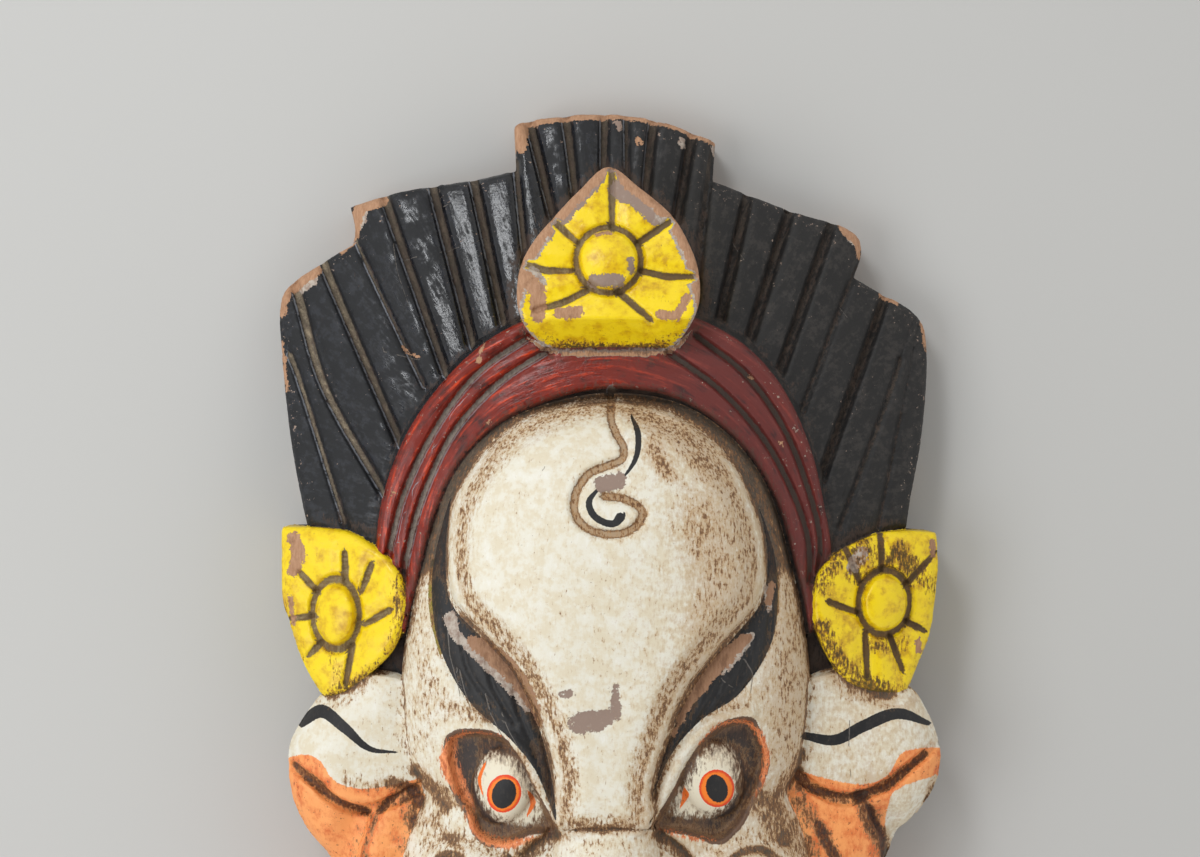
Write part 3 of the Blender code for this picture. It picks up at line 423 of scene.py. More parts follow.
HEAD_MIDDLE = [
    (101, 58), (94, 62), (86, 72), (75, 81), (60, 88), (40, 93), (10, 95), (-30, 94), (-60, 91), (-85, 88),
    (-110, 86), (-140, 86), (-165, 84), (-185, 78), (-200, 68), (-210, 54), (-217.5, 30),
]
HEAD_SIDE = [(101, 57), (60, 56), (20, 53), (-40, 50), (-100, 48), (-140, 40), (-180, 28), (-217.5, 26)]

MIDDLE_FLOWER = curve_through(
    [(1, 190), (14, 181), (28, 168.5), (35, 156), (38.3, 146), (38.7, 133), (35, 123), (27, 114),
     (12, 112.6), (-8, 112.6), (-22.5, 113.5), (-31.5, 119.5), (-36, 128), (-37, 137.5), (-35, 149),
     (-29.5, 159), (-22.5, 167.5), (-11, 180)],
    closed=True,
)
LEFT_FLOWER = chain(
    [(-139.7, 37.5), (-124, 37.5), (-108, 35.5), (-97.5, 29.5), (-87, 20), (-83.5, 9), (-85, -2.5),
     (-90, -14), (-100, -24), (-111, -32.5), (-120, -34.5), (-124, -30), (-130, -20), (-136, -4),
     (-139, 5), (-139.7, 22), (-139.7, 37.5)],
)
RIGHT_FLOWER = chain(
    [(142.5, 35), (143.3, 25.5), (141.5, 4.5), (139.5, -8), (134, -21), (129, -32), (125, -35.3),
     (119, -33.5), (104, -28.5), (93.5, -16.5), (87.5, -1.5), (87, 9), (89, 18.5), (95, 25.5),
     (103.5, 30.5), (116, 35), (130, 36), (142.5, 35)],
)

EAR_RIM_SPAN = slice(4, 125)
EAR_LOWER = [(114, -120), (111, -134), (105, -147), (97, -152), (90, -148), (84, -135)]
LEFT_EAR = curve_through(
    [(-108, -26), (-121, -33), (-127, -40), (-132, -47.5), (-135.5, -55), (-136.3, -64.5),
     (-135.4, -73.5), (-133, -82.5), (-128, -92.5), (-119, -104), *mirrored(EAR_LOWER),
     (-80, -100), (-74, -75), (-78, -50), (-84, -28)],
    closed=True,
)
RIGHT_EAR = curve_through(
    [(108, -24), (125, -29), (132, -32), (137, -39.5), (141, -48), (143.5, -58), (143, -66.5),
     (140, -75.5), (132.5, -86), (125, -94.5), (121.5, -104), *EAR_LOWER,
     (80, -100), (74, -75), (78, -50), (84, -28)],
    closed=True,
)
LEFT_EAR_FOLD = curve_through([(133, -65), (122, -71.5), (119, -75), (106, -82), (90, -78), (78, -72)])
LEFT_EAR_FLAP = curve_through([(99.5, -82), (101.5, -90), (105.5, -102), (107, -118), (104, -134)])
RIGHT_EAR_FOLD = curve_through(
    [(139, -56.5), (128.5, -64), (120, -70.5), (108, -76), (100.5, -77.5), (90, -73.5), (80, -66)]
)
RIGHT_EAR_FLAP = curve_through([(109, -77), (112.5, -86.5), (117, -98), (115, -112), (106, -132)])
EAR_SEAM_LEFT = curve_through(
    [(-88, -30), (-87, -50), (-84, -63.5), (-78, -72.5), (-81.5, -82.5), (-86.5, -93), (-89.5, -105),
     (-90.5, -125), (-88, -146)]
)
EAR_SEAM_RIGHT = curve_through(
    [(87.5, -30), (85.5, -50), (83, -64), (79, -74), (86, -86), (89.5, -100), (91.5, -125),
     (88, -146)]
)

BAND_OUTER = curve_through(
    [(-88, -6), (-96, 14), (-97, 33), (-93.5, 54), (-83, 79.5), (-66, 102.5), (-49, 117.5), (-25, 129),
     (5, 133.5), (32, 128.5), (56.5, 116.5), (73.5, 98.5), (86.5, 71), (92.5, 46), (95.5, 28), (94, 10),
     (88, -6)]
)
BAND_INNER = curve_through(
    [(-85, -6), (-82, 6), (-77.5, 22), (-72, 42), (-61, 65), (-44.5, 82), (-19, 93.5), (1.5, 97), (29, 93),
     (54, 76), (71.5, 50), (80, 22), (84, 6), (86, -6)]
)
BAND = np.vstack([BAND_OUTER, BAND_INNER[::-1]])
BAND_GROOVES = [
    curve_through([(-94, 14), (-90.5, 33), (-84.5, 54), (-69.5, 83.5), (-53, 104), (-30, 120)]),
    curve_through([(-86, 14), (-83.5, 28), (-77.5, 50), (-63.5, 79), (-44.5, 99.5), (-24, 113)]),
    curve_through([(38, 119), (58.5, 103), (75, 80), (86.5, 51), (90.5, 34), (90, 16)]),
    curve_through([(26, 112), (47.5, 96.5), (66, 76), (80, 50), (85.5, 32), (86, 16)]),
]

FOREHEAD = curve_through(
    [(1.5, 91.5), (19, 89), (35, 81.5), (51, 67), (60, 51), (65.5, 32), (66, 22), (62.5, 9),
     (52.5, -2.5), (41, -15), (31, -29), (24.5, -46), (19, -64), (17.5, -84), (-19.5, -84),
     (-21.5, -62), (-28, -36), (-38.5, -16.5), (-51, -3), (-62, 9), (-65.5, 24), (-65, 42),
     (-61, 55), (-51, 69), (-35, 82.5), (-17, 89)],
    closed=True,
)
LEFT_BROW = curve_through(
    [(-64.5, 52), (-66.5, 30), (-64, 8), (-52, -5), (-39, -19), (-29, -38), (-22.5, -62), (-20.5, -80),
     (-29, -60), (-39.5, -47), (-56, -33), (-68.5, -12), (-72.5, 9), (-71.5, 27)],
    closed=True,
)
RIGHT_BROW = curve_through(
    [(63.5, 48), (67, 30), (64.5, 9), (53.5, -4.5), (41.5, -18), (32, -33), (25, -50), (18.5, -72),
     (26.5, -54), (38.5, -40), (55, -29), (68.5, -9), (71.5, 9), (70.5, 27)],
    closed=True,
)
BROW_HAIRS = [
    curve_through([(68, 2), (66, -12), (57, -27)]), curve_through([(60, -6), (56, -20), (46, -34)]),
    curve_through([(49, -13), (46, -26), (37, -41)]), curve_through([(38, -25), (35, -38), (28, -54)]),
]
LEFT_SOCKET = curve_through(
    [(-66, -54), (-64.5, -48), (-60, -45.5), (-50, -45), (-42, -47.5), (-36, -54), (-31, -64),
     (-21, -85.5), (-31, -87.5), (-41, -91.5), (-48.5, -91), (-53.5, -87.5), (-57, -79), (-62.5, -71)],
    closed=True,
)
RIGHT_SOCKET = curve_through(
    [(20, -84.5), (28, -67), (35, -54), (43, -45), (51.5, -40.5), (59.5, -40.5), (63.5, -48),
     (66.5, -58), (64, -67), (60, -75), (54.5, -84.5), (46, -90.5), (33.5, -87.5)],
    closed=True,
)
LEFT_LID = curve_through([(-62, -43.5), (-50, -42.5), (-40.5, -45), (-33.5, -53), (-28, -64), (-19.5, -83)])
RIGHT_LID = curve_through([(18.5, -82), (25.5, -66), (32.5, -52.5), (41, -42.5), (50, -38), (60, -37.5)])

CURL = curve_through(
    [(2.5, 96), (2, 84), (4, 78), (7, 72.5), (6.5, 67.5), (0.5, 65), (-7, 61.5), (-11.5, 55.5),
     (-13, 49), (-11.5, 43.5), (-6, 39), (1, 37.5), (8.5, 38.5), (13.5, 42.5), (14.5, 46.5),
     (11, 50), (5.5, 52), (-0.5, 52.5)]
)

# Lower face
BRIDGE_FOLD = curve_through([(-24, -86.5), (-12, -84), (0, -83.5), (12, -84), (22, -86)])
SNOUT_FOLD = curve_through([(-9, -98), (0, -95.5), (10, -98)])
NOSE_RIDGE = [(-76, 97), (-84, 98), (-94, 102), (-106, 109), (-118, 114), (-130, 108), (-146, 86)]
NOSE_HALF_WIDTH = [(-76, 22), (-90, 22), (-104, 24), (-118, 28), (-130, 27), (-146, 17)]
CHEEK_FOLD = curve_through([(22, -88), (32, -97), (37, -112), (44, -128), (60, -148)])
UPPER_LIP = curve_through(
    [(-50, -143), (-38, -150), (-20, -153), (-8, -150.5), (0, -152.5), (8, -150.5), (20, -153), (38, -150),
     (50, -143)]
)
LOWER_LIP = curve_through(
    [(-50, -143), (-43, -158), (-26, -172), (0, -178), (26, -172), (43, -158), (50, -143)]
)
LIP_CLEFT = [(0, -140), (0, -148)]

# Gouges of the crest from left to right: a path and a depth for each
HAIR_GOUGES = [
    ([(-138, 112), (-134.5, 104), (-111.5, 38)], 0.6),
    ([(-138, 146), (-135, 139), (-125.5, 107.5), (-118.5, 91.5), (-94, 52)], 1.0),
    ([(-124, 154), (-122, 149), (-87, 73)], 1.0),
    ([(-109.5, 164), (-108, 160), (-77.5, 98)], 0.35),
    ([(-97, 183), (-95, 177), (-68, 103)], 1.0),
    ([(-76, 188), (-74.5, 182), (-56.5, 115)], 1.0),
    ([(-58, 191), (-57, 186), (-43.5, 125)], 1.0),
    ([(-39, 196), (-38.5, 190), (-34, 150), (-30, 125)], 0.6),
    ([(-34, 216), (-32.5, 211), (-23, 172)], 1.0),
    ([(-18, 219), (-17, 213), (-13, 180)], 1.0),
    ([(-0.5, 220), (-0.5, 213), (-1, 188)], 0.9),
    ([(9, 219), (9, 212), (9, 186)], 0.45),
    ([(22, 217), (20.5, 211), (17, 180)], 1.0),
    ([(39, 212), (37.5, 207), (30.5, 170)], 1.0),
    ([(48, 208), (46, 200), (40, 155), (38, 135)], 0.6),
    ([(62, 184), (61, 179), (48, 124)], 1.0),
    ([(81, 178), (79, 172), (60.5, 116)], 1.0),
    ([(100, 173), (97.5, 167), (73, 101)], 1.0),
    ([(109, 150), (106.5, 144.5), (83, 86)], 0.35),
    ([(123, 141), (120.5, 134.5), (91.5, 59)], 1.0),
    ([(128, 110), (127.5, 107), (100, 38)], 0.45),
    ([(128, 86), (127.5, 83.5), (117.5, 38)], 0.3),
]
HAIR_GOUGES = [(curve_through(points, per_span=4), share) for points, share in HAIR_GOUGES]

# Each flower: outline, boss and the cuts between its petals
MIDDLE_PETALS = [
    [(2.5, 190), (2.5, 163)], [(-24, 168.5), (-12, 157.5)], [(-37, 149.5), (-25, 145.5), (-14, 145.5)],
    [(-8, 137), (-18, 132), (-29, 129)], [(4.5, 137), (18.5, 125)],
    [(14.5, 145.5), (25, 143), (37, 143)], [(13, 157), (29, 168)],
]
LEFT_PETALS = [
    [(-131, 18), (-123, 10)], [(-111, 27), (-110.5, 14.5)], [(-99, 22.5), (-103.5, 11)],
    [(-91, 3.5), (-102, -3)], [(-107.5, -12), (-110.5, -28)], [(-121.5, -11.5), (-127, -17)],
    [(-124, 0), (-136, -2)],
]
RIGHT_PETALS = [
    [(117, 34.5), (117.5, 20)], [(101.5, 29), (107.5, 15)], [(94, 7), (106.5, 2)],
    [(110, -7), (111, -25.5)], [(121, -8.5), (127, -23.5)], [(128.5, -2.5), (137, -7)],
    [(128, 13), (142, 26.5)],
]


# Painted lines: a path and half widths along it
LINES = [
    (curve_through([(10.5, 85), (13, 78), (12, 68), (6.5, 59.5)]), 0.5, 1.2, 1.25, 0.9, 0.3),
    (
        curve_through([(-3.4, 55.5), (-6.9, 50.5), (-5.3, 45.4), (-0.5, 42.2), (3.4, 41.9), (5.6, 44.2)]),
        0.6, 1.3, 1.4, 1.4, 1.4, 2.0,
    ),
    (
        curve_through([(-130.5, -46), (-121, -40.5), (-111, -46.5), (-100, -55.5), (-89, -57)]),
        2.0, 2.7, 2.3, 1.2, 0.4,
    ),
    (
        curve_through([(84, -50), (97, -51.8), (109, -46), (124, -41), (138, -46)]),
        1.6, 2.2, 2.4, 2.5, 2.2, 1.0,
    ),
]
EYE_MARKS = [
    (curve_through([(-50, -58.5), (-52.3, -65), (-51, -71)]), 0.5, 0.8, 0.3),
    (curve_through([(-31.7, -70), (-30.2, -74.5), (-32.2, -79.5)]), 0.6, 1.2, 0.5),
    (curve_through([(32.4, -68.5), (32.8, -71.6), (31, -76)]), 0.4, 1.5, 1.1, 0.4),
]
EYE_RIMS = [
    (
        curve_through([
            (-38.5, -46.8), (-50.4, -45.3), (-61.3, -47.4), (-65.7, -55.1), (-63.9, -63.8),
            (-58.1, -73.6), (-53.4, -86.7), (-43.9, -91.6), (-30.8, -89.6), (-21, -86.7),
        ]),
        0.4, 0.9, 1.5, 4.2, 4.6, 2.6, 2.2, 2.6, 1.9, 0.8,
    ),
    (
        curve_through([
            (37.8, -49.6), (45.4, -42.4), (57.4, -41.2), (64.4, -48.5), (66.6, -57.2), (64.2, -68.1),
            (61.5, -73),
        ]),
        0.6, 1.2, 1.6, 1.9, 2.0, 1.5, 0.6,
    ),
    (curve_through([(20.9, -85.2), (34.7, -88.4), (45.8, -90.4)]), 0.5, 1.0, 0.9, 0.4),
]
SCRATCHES = [
    ([(-86.5, 153), (-69.7, 156.4), (-58, 159.5), (-51, 162.6)], 0.25, 0.15),
    ([(-99, 119.6), (-95.5, 113), (-80, 109.3)], 0.25, 0.2), ([(-71, 176), (-66, 178)], 0.2, 0.2),
    ([(-92, 160), (-90, 148), (-84, 131)], 0.2, 0.1), ([(-128, 118), (-122, 97)], 0.2, 0.1),
    ([(55, 160), (62, 148)], 0.2, 0.1), ([(96, 140), (104, 128)], 0.2, 0.15),
    ([(118, 104), (112, 84)], 0.2, 0.1), ([(-60.3, -19.8), (-58.7, -26.6), (-55.3, -37)], 0.35, 0.2),
    ([(-49.6, -29), (-47.2, -37.5), (-42.6, -46)], 0.35, 0.2),
    ([(-42.6, -37), (-40.4, -42.7), (-35.8, -50.8)], 0.35, 0.2),
    ([(-65.5, -2), (-64.5, -14), (-60, -30)], 0.35, 0.2),
    ([(57, -15), (60.6, -21), (59.4, -30)], 0.35, 0.2), ([(47.5, -23), (51.4, -26)], 0.3, 0.2),
    ([(103.5, -36), (102.8, -54), (104, -72)], 0.3, 0.25, 0.15), ([(-27, 62), (-24, 65)], 0.25, 0.15),
]
LEFT_ORANGE_EDGE = curve_through(
    [(-140, -63), (-129, -58.8), (-122, -60), (-115, -69), (-103, -72.5), (-78, -68)]
)
RIGHT_ORANGE_EDGE = curve_through(
    [(77, -63.5), (95, -68.5), (109, -70.5), (119, -67), (126, -57), (145, -57)]
)
OLIVE_STRIPS = [
    (curve_through([(-71.8, 24), (-71.6, 6), (-68.4, -14)]), 1.6, 2.3, 2.1, 0.6),
    (curve_through([(71, 20), (69.8, 2), (67.5, -10)]), 0.8, 1.6, 1.2, 0.4),
]

# Painted balls of the eyes
LEFT_WHITE = curve_through(
    [(-47, -52.5), (-54.5, -62), (-53.5, -73), (-46.5, -82), (-37, -85), (-26, -83), (-25.5, -78),
     (-30, -66), (-37, -55)],
    closed=True,
)
RIGHT_WHITE = curve_through(
    [(47, -49), (55, -55), (56.5, -65), (52.5, -75.5), (45, -81.5), (33, -82), (25.5, -79), (33, -62),
     (38.5, -52.5)],
    closed=True,
)
# Each eye: socket outline, its middle, painted ball, iris centre, iris radii, pupil radii, turn
EYES = [
    (LEFT_SOCKET, LEFT_EYE, LEFT_WHITE, (-42.0, -70.2), (7.0, 8.3), (4.9, 6.5), -EYEBALL_TURN),
    (RIGHT_SOCKET, RIGHT_EYE, RIGHT_WHITE, (45.6, -68.2), (7.3, 8.2), (4.4, 6.2), EYEBALL_TURN),
]

# Places where the paint is gone: a path and half its width
BARE_CREST = [
    ([(-37.5, 203), (-37, 213)], 3.4), ([(-33, 214.5), (-15, 217), (8, 217.5)], 2.6),
    ([(8, 217.5), (26, 214), (47, 206)], 2.4), ([(14, 205), (15, 204)], 1.6),
    ([(-110, 165), (-108, 175.5), (-98, 179.5)], 2.8), ([(-137, 142), (-127, 149)], 2.8),
    ([(-142.5, 131), (-140, 140)], 2.6), ([(-115, 157), (-111, 160.5)], 1.4),
    ([(103.5, 167.5), (110.5, 161.5)], 2.6), ([(110.5, 161), (110, 155)], 1.3),
    ([(120, 138.5), (127, 135.5)], 1.5), ([(139.5, 126), (141, 115)], 1.8),
    ([(-142, 118), (-139, 96)], 0.9), ([(-87.6, 115.7), (-84, 112), (-79.7, 110.7)], 0.35),
]
BARE_BAND = [
    ([(-51.8, 115.5), (-52.6, 112), (-53.4, 108)], 0.8), ([(60.7, 101.7), (61.5, 101)], 0.9),
    ([(73.3, 73.9), (73.8, 73)], 0.8), ([(-49.2, 82), (-48.4, 82.4)], 1.0),
    ([(-90.5, 52.4), (-90, 53.4)], 0.9),
]
BARE_HEAD = [
    ([(-55, -7.5), (-45.5, -12.5), (-36.5, -21.5), (-29.5, -32.5), (-26.5, -42)], 2.4, 4.4, 4.2, 2.8, 0.8),
    ([(58, -6), (49, -13.5), (40, -23), (32.5, -34.5), (27.5, -46)], 2.0, 3.4, 3.2, 1.8, 0.6),
    ([(69, 15), (67, 7)], 1.6),
]
BARE_FLOWERS = [
    ([(22, 127), (29, 126.5), (33.5, 134)], 1.8), ([(-33, 142), (-28.5, 137), (-28, 127)], 3.4),
    ([(-133.8, 33), (-131.5, 26), (-134, 19)], 3.0), ([(-135.5, 8), (-134.5, -4)], 1.2),
    ([(140.5, 31), (141, 26)], 1.6), ([(133.8, -11), (134.3, -15.5)], 1.3),
    ([(-19, 127.4), (-12, 128)], 2.6), ([(-4, 160.8), (1.5, 161.2)], 0.9),
]
PRIMER_CREST = [
    ([(5, 212.5), (5.2, 211)], 2.0), ([(33, 205), (33.4, 203.5)], 1.7), ([(-108, 168), (-105, 176)], 2.2),
    ([(-133, 141.5), (-128, 145)], 2.4), ([(47, 203), (47.5, 200)], 1.2), ([(106, 164), (108.5, 161)], 1.8),
]
PRIMER_HEAD = [
    ([(-11, -39), (-3, -37.5), (3.5, -35.5)], 4.4, 4.4, 2.4), ([(3.5, -34), (4, -24)], 2.4, 1.2),
    ([(-17.5, -27.2), (-15, -26.6)], 1.5), ([(-1.5, 57.6), (5, 58.8)], 3.4),
    ([(-64.5, 2), (-62.5, -5), (-57, -9)], 2.8, 2.4, 2.0),
    ([(-57, -9.5), (-48.5, -15.5), (-40, -23.5), (-32, -35)], 2.2, 3.4, 3.2, 1.2),
    ([(59, -6), (54, -13), (48, -20)], 2.4, 1.8, 1.0), ([(66.5, 14), (67.5, 6)], 1.6),
]
PRIMER_FLOWERS = [
    ([(5.5, 180), (13.5, 176), (21, 169)], 4.2), ([(-5, 181), (-12, 173.5), (-17, 167)], 1.7),
    ([(-5, 141), (5.5, 141)], 2.6), ([(10.6, 144.5), (10.2, 150)], 1.3), ([(-31, 146), (-26, 141)], 1.6),
    ([(104.5, 21.5), (108.5, 27)], 3.0),
]

# Shallow folds over the cheeks
CHEEK_ARCS = [
    curve_through([(-72, -101), (-68, -97), (-62, -96), (-56, -99)]),
    curve_through([(51, -97.5), (57, -94.5), (64, -94.5), (72, -99)]),
]

# Crusted folds of the ears, and the grime stains, some of them painted shade in folds: a path, its half
# width, and how dark it is
EAR_CRUSTS = [
    ([(-133, -64), (-123, -72.5), (-114, -78), (-103, -82.7), (-98.5, -85)], 1.5, 1.0),
    ([(-84.5, -71.5), (-92.5, -78), (-98, -86), (-101.5, -96), (-103, -106)], 1.5, 1.1),
    ([(-91, -70), (-83, -72), (-79, -78)], 2.8, 1.3),
    ([(82, -71.5), (92, -74.4), (107.8, -75.6), (119, -72.6), (127, -66), (136, -59)], 1.6, 1.1),
    ([(108, -76), (112.5, -88), (118.5, -98), (120.5, -106)], 3.6, 1.7),
    ([(90, -88), (94, -96), (98, -103)], 2.4, 1.6),
    ([(139, -72), (137, -85), (130, -94), (123, -103)], 1.4, 1.1),
]
RIGHT_EAR_WHITE = [
    (120.5, -75), (127, -71), (142, -68), (146, -80), (140, -100), (126, -116), (119, -118),
    (120, -100), (119.5, -86),
]
STAINS_AND_SHADE = [
    *EAR_CRUSTS, ([(-48, -52), (-37, -56), (-31.5, -68)], 5.0, 1.1),
    ([(43.3, -53), (53, -56), (57, -67)], 5.0, 1.1), ([(60, -72), (68, -79), (76, -90)], 6.0, 1.25),
    ([(-22, -86), (-12, -84.2), (0, -83.7), (12, -84.2), (21, -85.8)], 1.5, 0.95),
    ([(-20.3, -86.3), (-31.4, -91.9), (-42, -97.5)], 2.6, 1.4),
    ([(20.3, -86.3), (27.5, -91), (34.5, -97)], 2.3, 1.35),
    ([(-79, -64), (-73, -70), (-67, -77)], 3.2, 1.5), ([(-68, -70), (-57, -79)], 2.2, 1.0),
    # The stain on the right where the ear meets the head, and those along the cheek arcs, are painted shade
    # in those folds.
    ([(81, -58), (76, -68), (69, -77)], 3.4, 1.25), *((arc, 1.8, 1.3) for arc in CHEEK_ARCS),
    ([(-83, -74), (-76, -80.6), (-68, -88), (-60, -94)], 3.0, 0.9),
    ([(64, -80), (76, -88), (84, -98)], 3.5, 0.8),
    ([(-112, -67), (-104, -72), (-92, -70), (-84, -72)], 2.4, 0.9),
    ([(-132, -62), (-126, -67), (-118, -74)], 2.4, 0.8),
    ([(84, -72), (100, -76), (112, -72), (124, -64)], 2.8, 0.8),
    ([(108, -74), (112, -90), (116, -104)], 2.4, 0.8), ([(132, -90), (138, -80), (142, -66)], 1.6, 0.9),
    ([(40, 44), (48, 20), (44, 0)], 11.0, 0.66), ([(-25.5, -50), (-21, -70), (-18.5, -86)], 4.5, 0.8),
    ([(24, -48), (19, -68), (18, -86)], 4.0, 0.7),
    ([(-61, 30), (-58, 46), (-50, 62), (-36, 76), (-16, 86), (0, 89)], 5.0, 0.65),
    ([(12, 88), (31, 77), (44, 62)], 6.0, 1.0), ([(44, 62), (54, 44), (58, 24), (57, 8)], 4.5, 0.75),
    ([(-56, 4), (-46, -6), (-35, -20), (-27, -38)], 4.5, 0.85),
    ([(56, 6), (46, -8), (35, -22), (27, -40)], 4.5, 0.75),
    ([(-53, -9), (-40, -20), (-29, -38)], 3.0, 0.6), ([(56, -9), (42, -22), (30, -40)], 3.0, 0.6),
    ([(21, 78), (19, 72), (22, 67), (25, 62)], 3.6, 1.0),
    ([(-72, -28), (-64, -36), (-50, -38)], 5.0, 0.7), ([(-78, -12), (-76, -40)], 3.5, 0.6),
    ([(78, 0), (80, -30), (77, -52)], 3.5, 0.6), ([(66, -28), (54, -34), (44, -40)], 4.0, 0.45),
    ([(-83, -74), (-84, -80), (-82, -86)], 3.0, 1.0), ([(82, -66), (84, -78), (88, -86)], 3.0, 0.9),
    ([(-60, -88), (-44, -95), (-26, -90)], 3.0, 0.6), ([(-76, -84), (-70, -94), (-64, -106)], 9.0, 0.5),
]
FLOWER_STAINS = [
    ([(-87, 18), (-86, 4), (-90, -12)], 3.4, 1.0), ([(-92, -16), (-106, -28), (-118, -33)], 3.2, 1.0),
    ([(-137, 14), (-137, 0), (-130, -18)], 2.2, 0.7), ([(-118, -16), (-114, -24)], 3.0, 0.6),
    ([(91, -4), (95, -15), (106, -26), (119, -32)], 4.6, 1.3),
    ([(90, 14), (97, 25), (110, 32)], 4.0, 1.2), ([(124, 26), (134, 20), (140, 12)], 5.0, 1.1),
    ([(103, 18), (109, 24)], 3.0, 1.0), ([(114, -12), (128, -12)], 3.5, 0.9),
    ([(112, 30), (120, 24), (126, 30)], 4.0, 1.0),
    ([(106, 16), (112, 20), (124, 21), (131, 14)], 2.6, 0.9), ([(126, -30), (134, -18)], 2.4, 0.7),
    ([(-33, 122), (-20, 115), (0, 113.5), (20, 113.8), (33, 121)], 2.2, 0.7),
]


# The forms, each as a height in millimetres above the back
def hair_flutes(x, y):
    """The crown and the slight tilt of each flute between two gouges."""
    beside = []
    for path, _ in HAIR_GOUGES:
        (ax, ay), (bx, by) = path[0], path[-1]
        length = np.hypot(bx - ax, by - ay)
        beside.append(((bx - ax) * (y - ay) - (by - ay) * (x - ax)) / length)
    relief = np.zeros(x.shape)
    for index, (left, right) in enumerate(zip(beside[:-1], beside[1:])):
        between = (left > 0) & (right < 0)
        across = np.where(between, (left + right) / np.where(between, left - right, 1), 0)
        tilt = FLUTE_TILT * np.sin(2.4 * index + 1.0)
        relief += np.where(between, FLUTE_CROWN * (1 - across**4) + tilt * across, 0)
    return relief


def crest_height(x, y):
    reach = np.hypot(x - FAN_CENTRE[0], y - FAN_CENTRE[1])
    level = CREST_AT_BAND - CREST_FALL * np.maximum(reach - FAN_RADIUS, 0)
    level -= CREST_SIDE_FALL * np.maximum(np.abs(x) - CREST_SIDE_FROM, 0)
    level += hair_flutes(x, y)
    for path, share in HAIR_GOUGES:
        level -= cut(x, y, path, GOUGE_HALF_WIDTH * (0.5 + 0.5 * share), GOUGE_DEPTH * share)
    return level - rounded_drop(depth_inside(x, y, CREST), CREST_ROUND)


def band_height(x, y):
    from_outer, _ = path_distance(x, y, BAND_OUTER)
    from_inner, _ = path_distance(x, y, BAND_INNER)
    across = from_outer / np.maximum(from_outer + from_inner, 0.01)
    level = BAND_OUTER_LEVEL + BAND_RISE * across + BAND_TOP_LIFT * ramp(y, 10, 110)
    for path in BAND_GROOVES:
        level -= cut(x, y, path, BAND_GROOVE_HALF_WIDTH, BAND_GROOVE_DEPTH)
        level -= cut(x, y, path, BAND_DIP_HALF_WIDTH, BAND_DIP_DEPTH)
    return level - rounded_drop(depth_inside(x, y, BAND), BAND_ROUND)


def head_height(x, y):
    """The rounded head without its features: temples, cheeks and jaw."""
    half_width = np.maximum(profile(y, HALF_FACE), 0.01)
    middle, side = profile(y, HEAD_MIDDLE), profile(y, HEAD_SIDE)
    across = np.clip(np.abs(x) / half_width, 0, 1)
    level = side + (middle - side) * np.sqrt(1 - across**2.5)
    level = level - HEAD_STEEPNESS * np.maximum(np.abs(x) - half_width, 0)
    return level - HEAD_STEEPNESS * np.maximum(y - HEAD_TOP, 0)


def forehead_lift(x, y):
    inside = depth_inside(x, y, FOREHEAD)
    dome = mound(x, y, DOME_CENTRE, DOME_RADII) ** 1.3
    lift = FOREHEAD_LIP * ramp(inside, -1.4, 1.4) + FOREHEAD_SWELL * swell(inside, FOREHEAD_SWELL_WIDTH)
    return lift + FOREHEAD_DOME * dome * ramp(inside, 0, 12)


def brow_relief(x, y):
    """The two brows, swelling out of a shallow bed beside the forehead, with cut hairs."""
    relief = np.zeros(x.shape)
    for outline, side in ((LEFT_BROW, -1), (RIGHT_BROW, 1)):
        inside = depth_inside(x, y, outline)
        hairs = sum(cut(side * x, y, path, BROW_HAIR_HALF_WIDTH, BROW_HAIR_DEPTH) for path in BROW_HAIRS)
        relief += np.where(inside > 0, BROW_SWELL * swell(inside, BROW_SWELL_WIDTH) - hairs, 0)
        relief -= BROW_BED * ramp(inside, -2.0, 0.6)
    return relief


def eye_surface(x, y, base):
    """Sockets sunk into the head, an eyeball in each, and the fold of the upper lid."""
    level = base
    for socket, lid, centre, turn in (
        (LEFT_SOCKET, LEFT_LID, LEFT_EYE, -EYEBALL_TURN),
        (RIGHT_SOCKET, RIGHT_LID, RIGHT_EYE, EYEBALL_TURN),
    ):
        inside = depth_inside(x, y, socket)
        sunk = level - SOCKET_DEPTH * ramp(inside, -0.8, 3.2)
        ball = base - SOCKET_DEPTH + EYEBALL_SWELL * cap(x, y, centre, EYEBALL_RADII, turn) - 1.0
        level = np.where(inside > 0, blended_max(sunk, ball, 0.8), sunk)
        distance, share = path_distance(x, y, lid, 4.0)
        level = level + LID_HEIGHT * (1 - ramp(distance, 0.5, 3.4)) * ramp(share, 0, 0.15)
    return level


def nose_height(x, y, base):
    """A broad nose below the bridge, with folds across it, a round tip, wings and nostrils."""
    level = base - cut(x, y, BRIDGE_FOLD, 1.5, 0.6)
    across = np.clip(np.abs(x) / profile(y, NOSE_HALF_WIDTH), 0, 1)
    bridge = level + (profile(y, NOSE_RIDGE) - level) * (1 - across**2) ** 0.75
    length = (y < NOSE_RIDGE[1][0]) & (y > NOSE_RIDGE[-1][0])
    level = np.where(length, np.maximum(bridge, level), level)
    tip = FACE_LEVEL + NOSE_TIP_HEIGHT * cap(x, y, NOSE_TIP, NOSE_TIP_RADII)
    level = blended_max(level, tip, 4.0)
    for side in (-1, 1):
        wing = cap(side * x, y, NOSE_WING, NOSE_WING_RADII, 0.3)
        level = blended_max(level, FACE_LEVEL + NOSE_WING_HEIGHT * wing, 5.0)
    level = level - cut(x, y, SNOUT_FOLD, 2.0, 1.6)
    for side in (-1, 1):
        nostril = cap(side * x, y, NOSTRIL, NOSTRIL_RADII, NOSTRIL_TURN)
        level = level - NOSTRIL_DEPTH * np.maximum(nostril, 0)
    return level


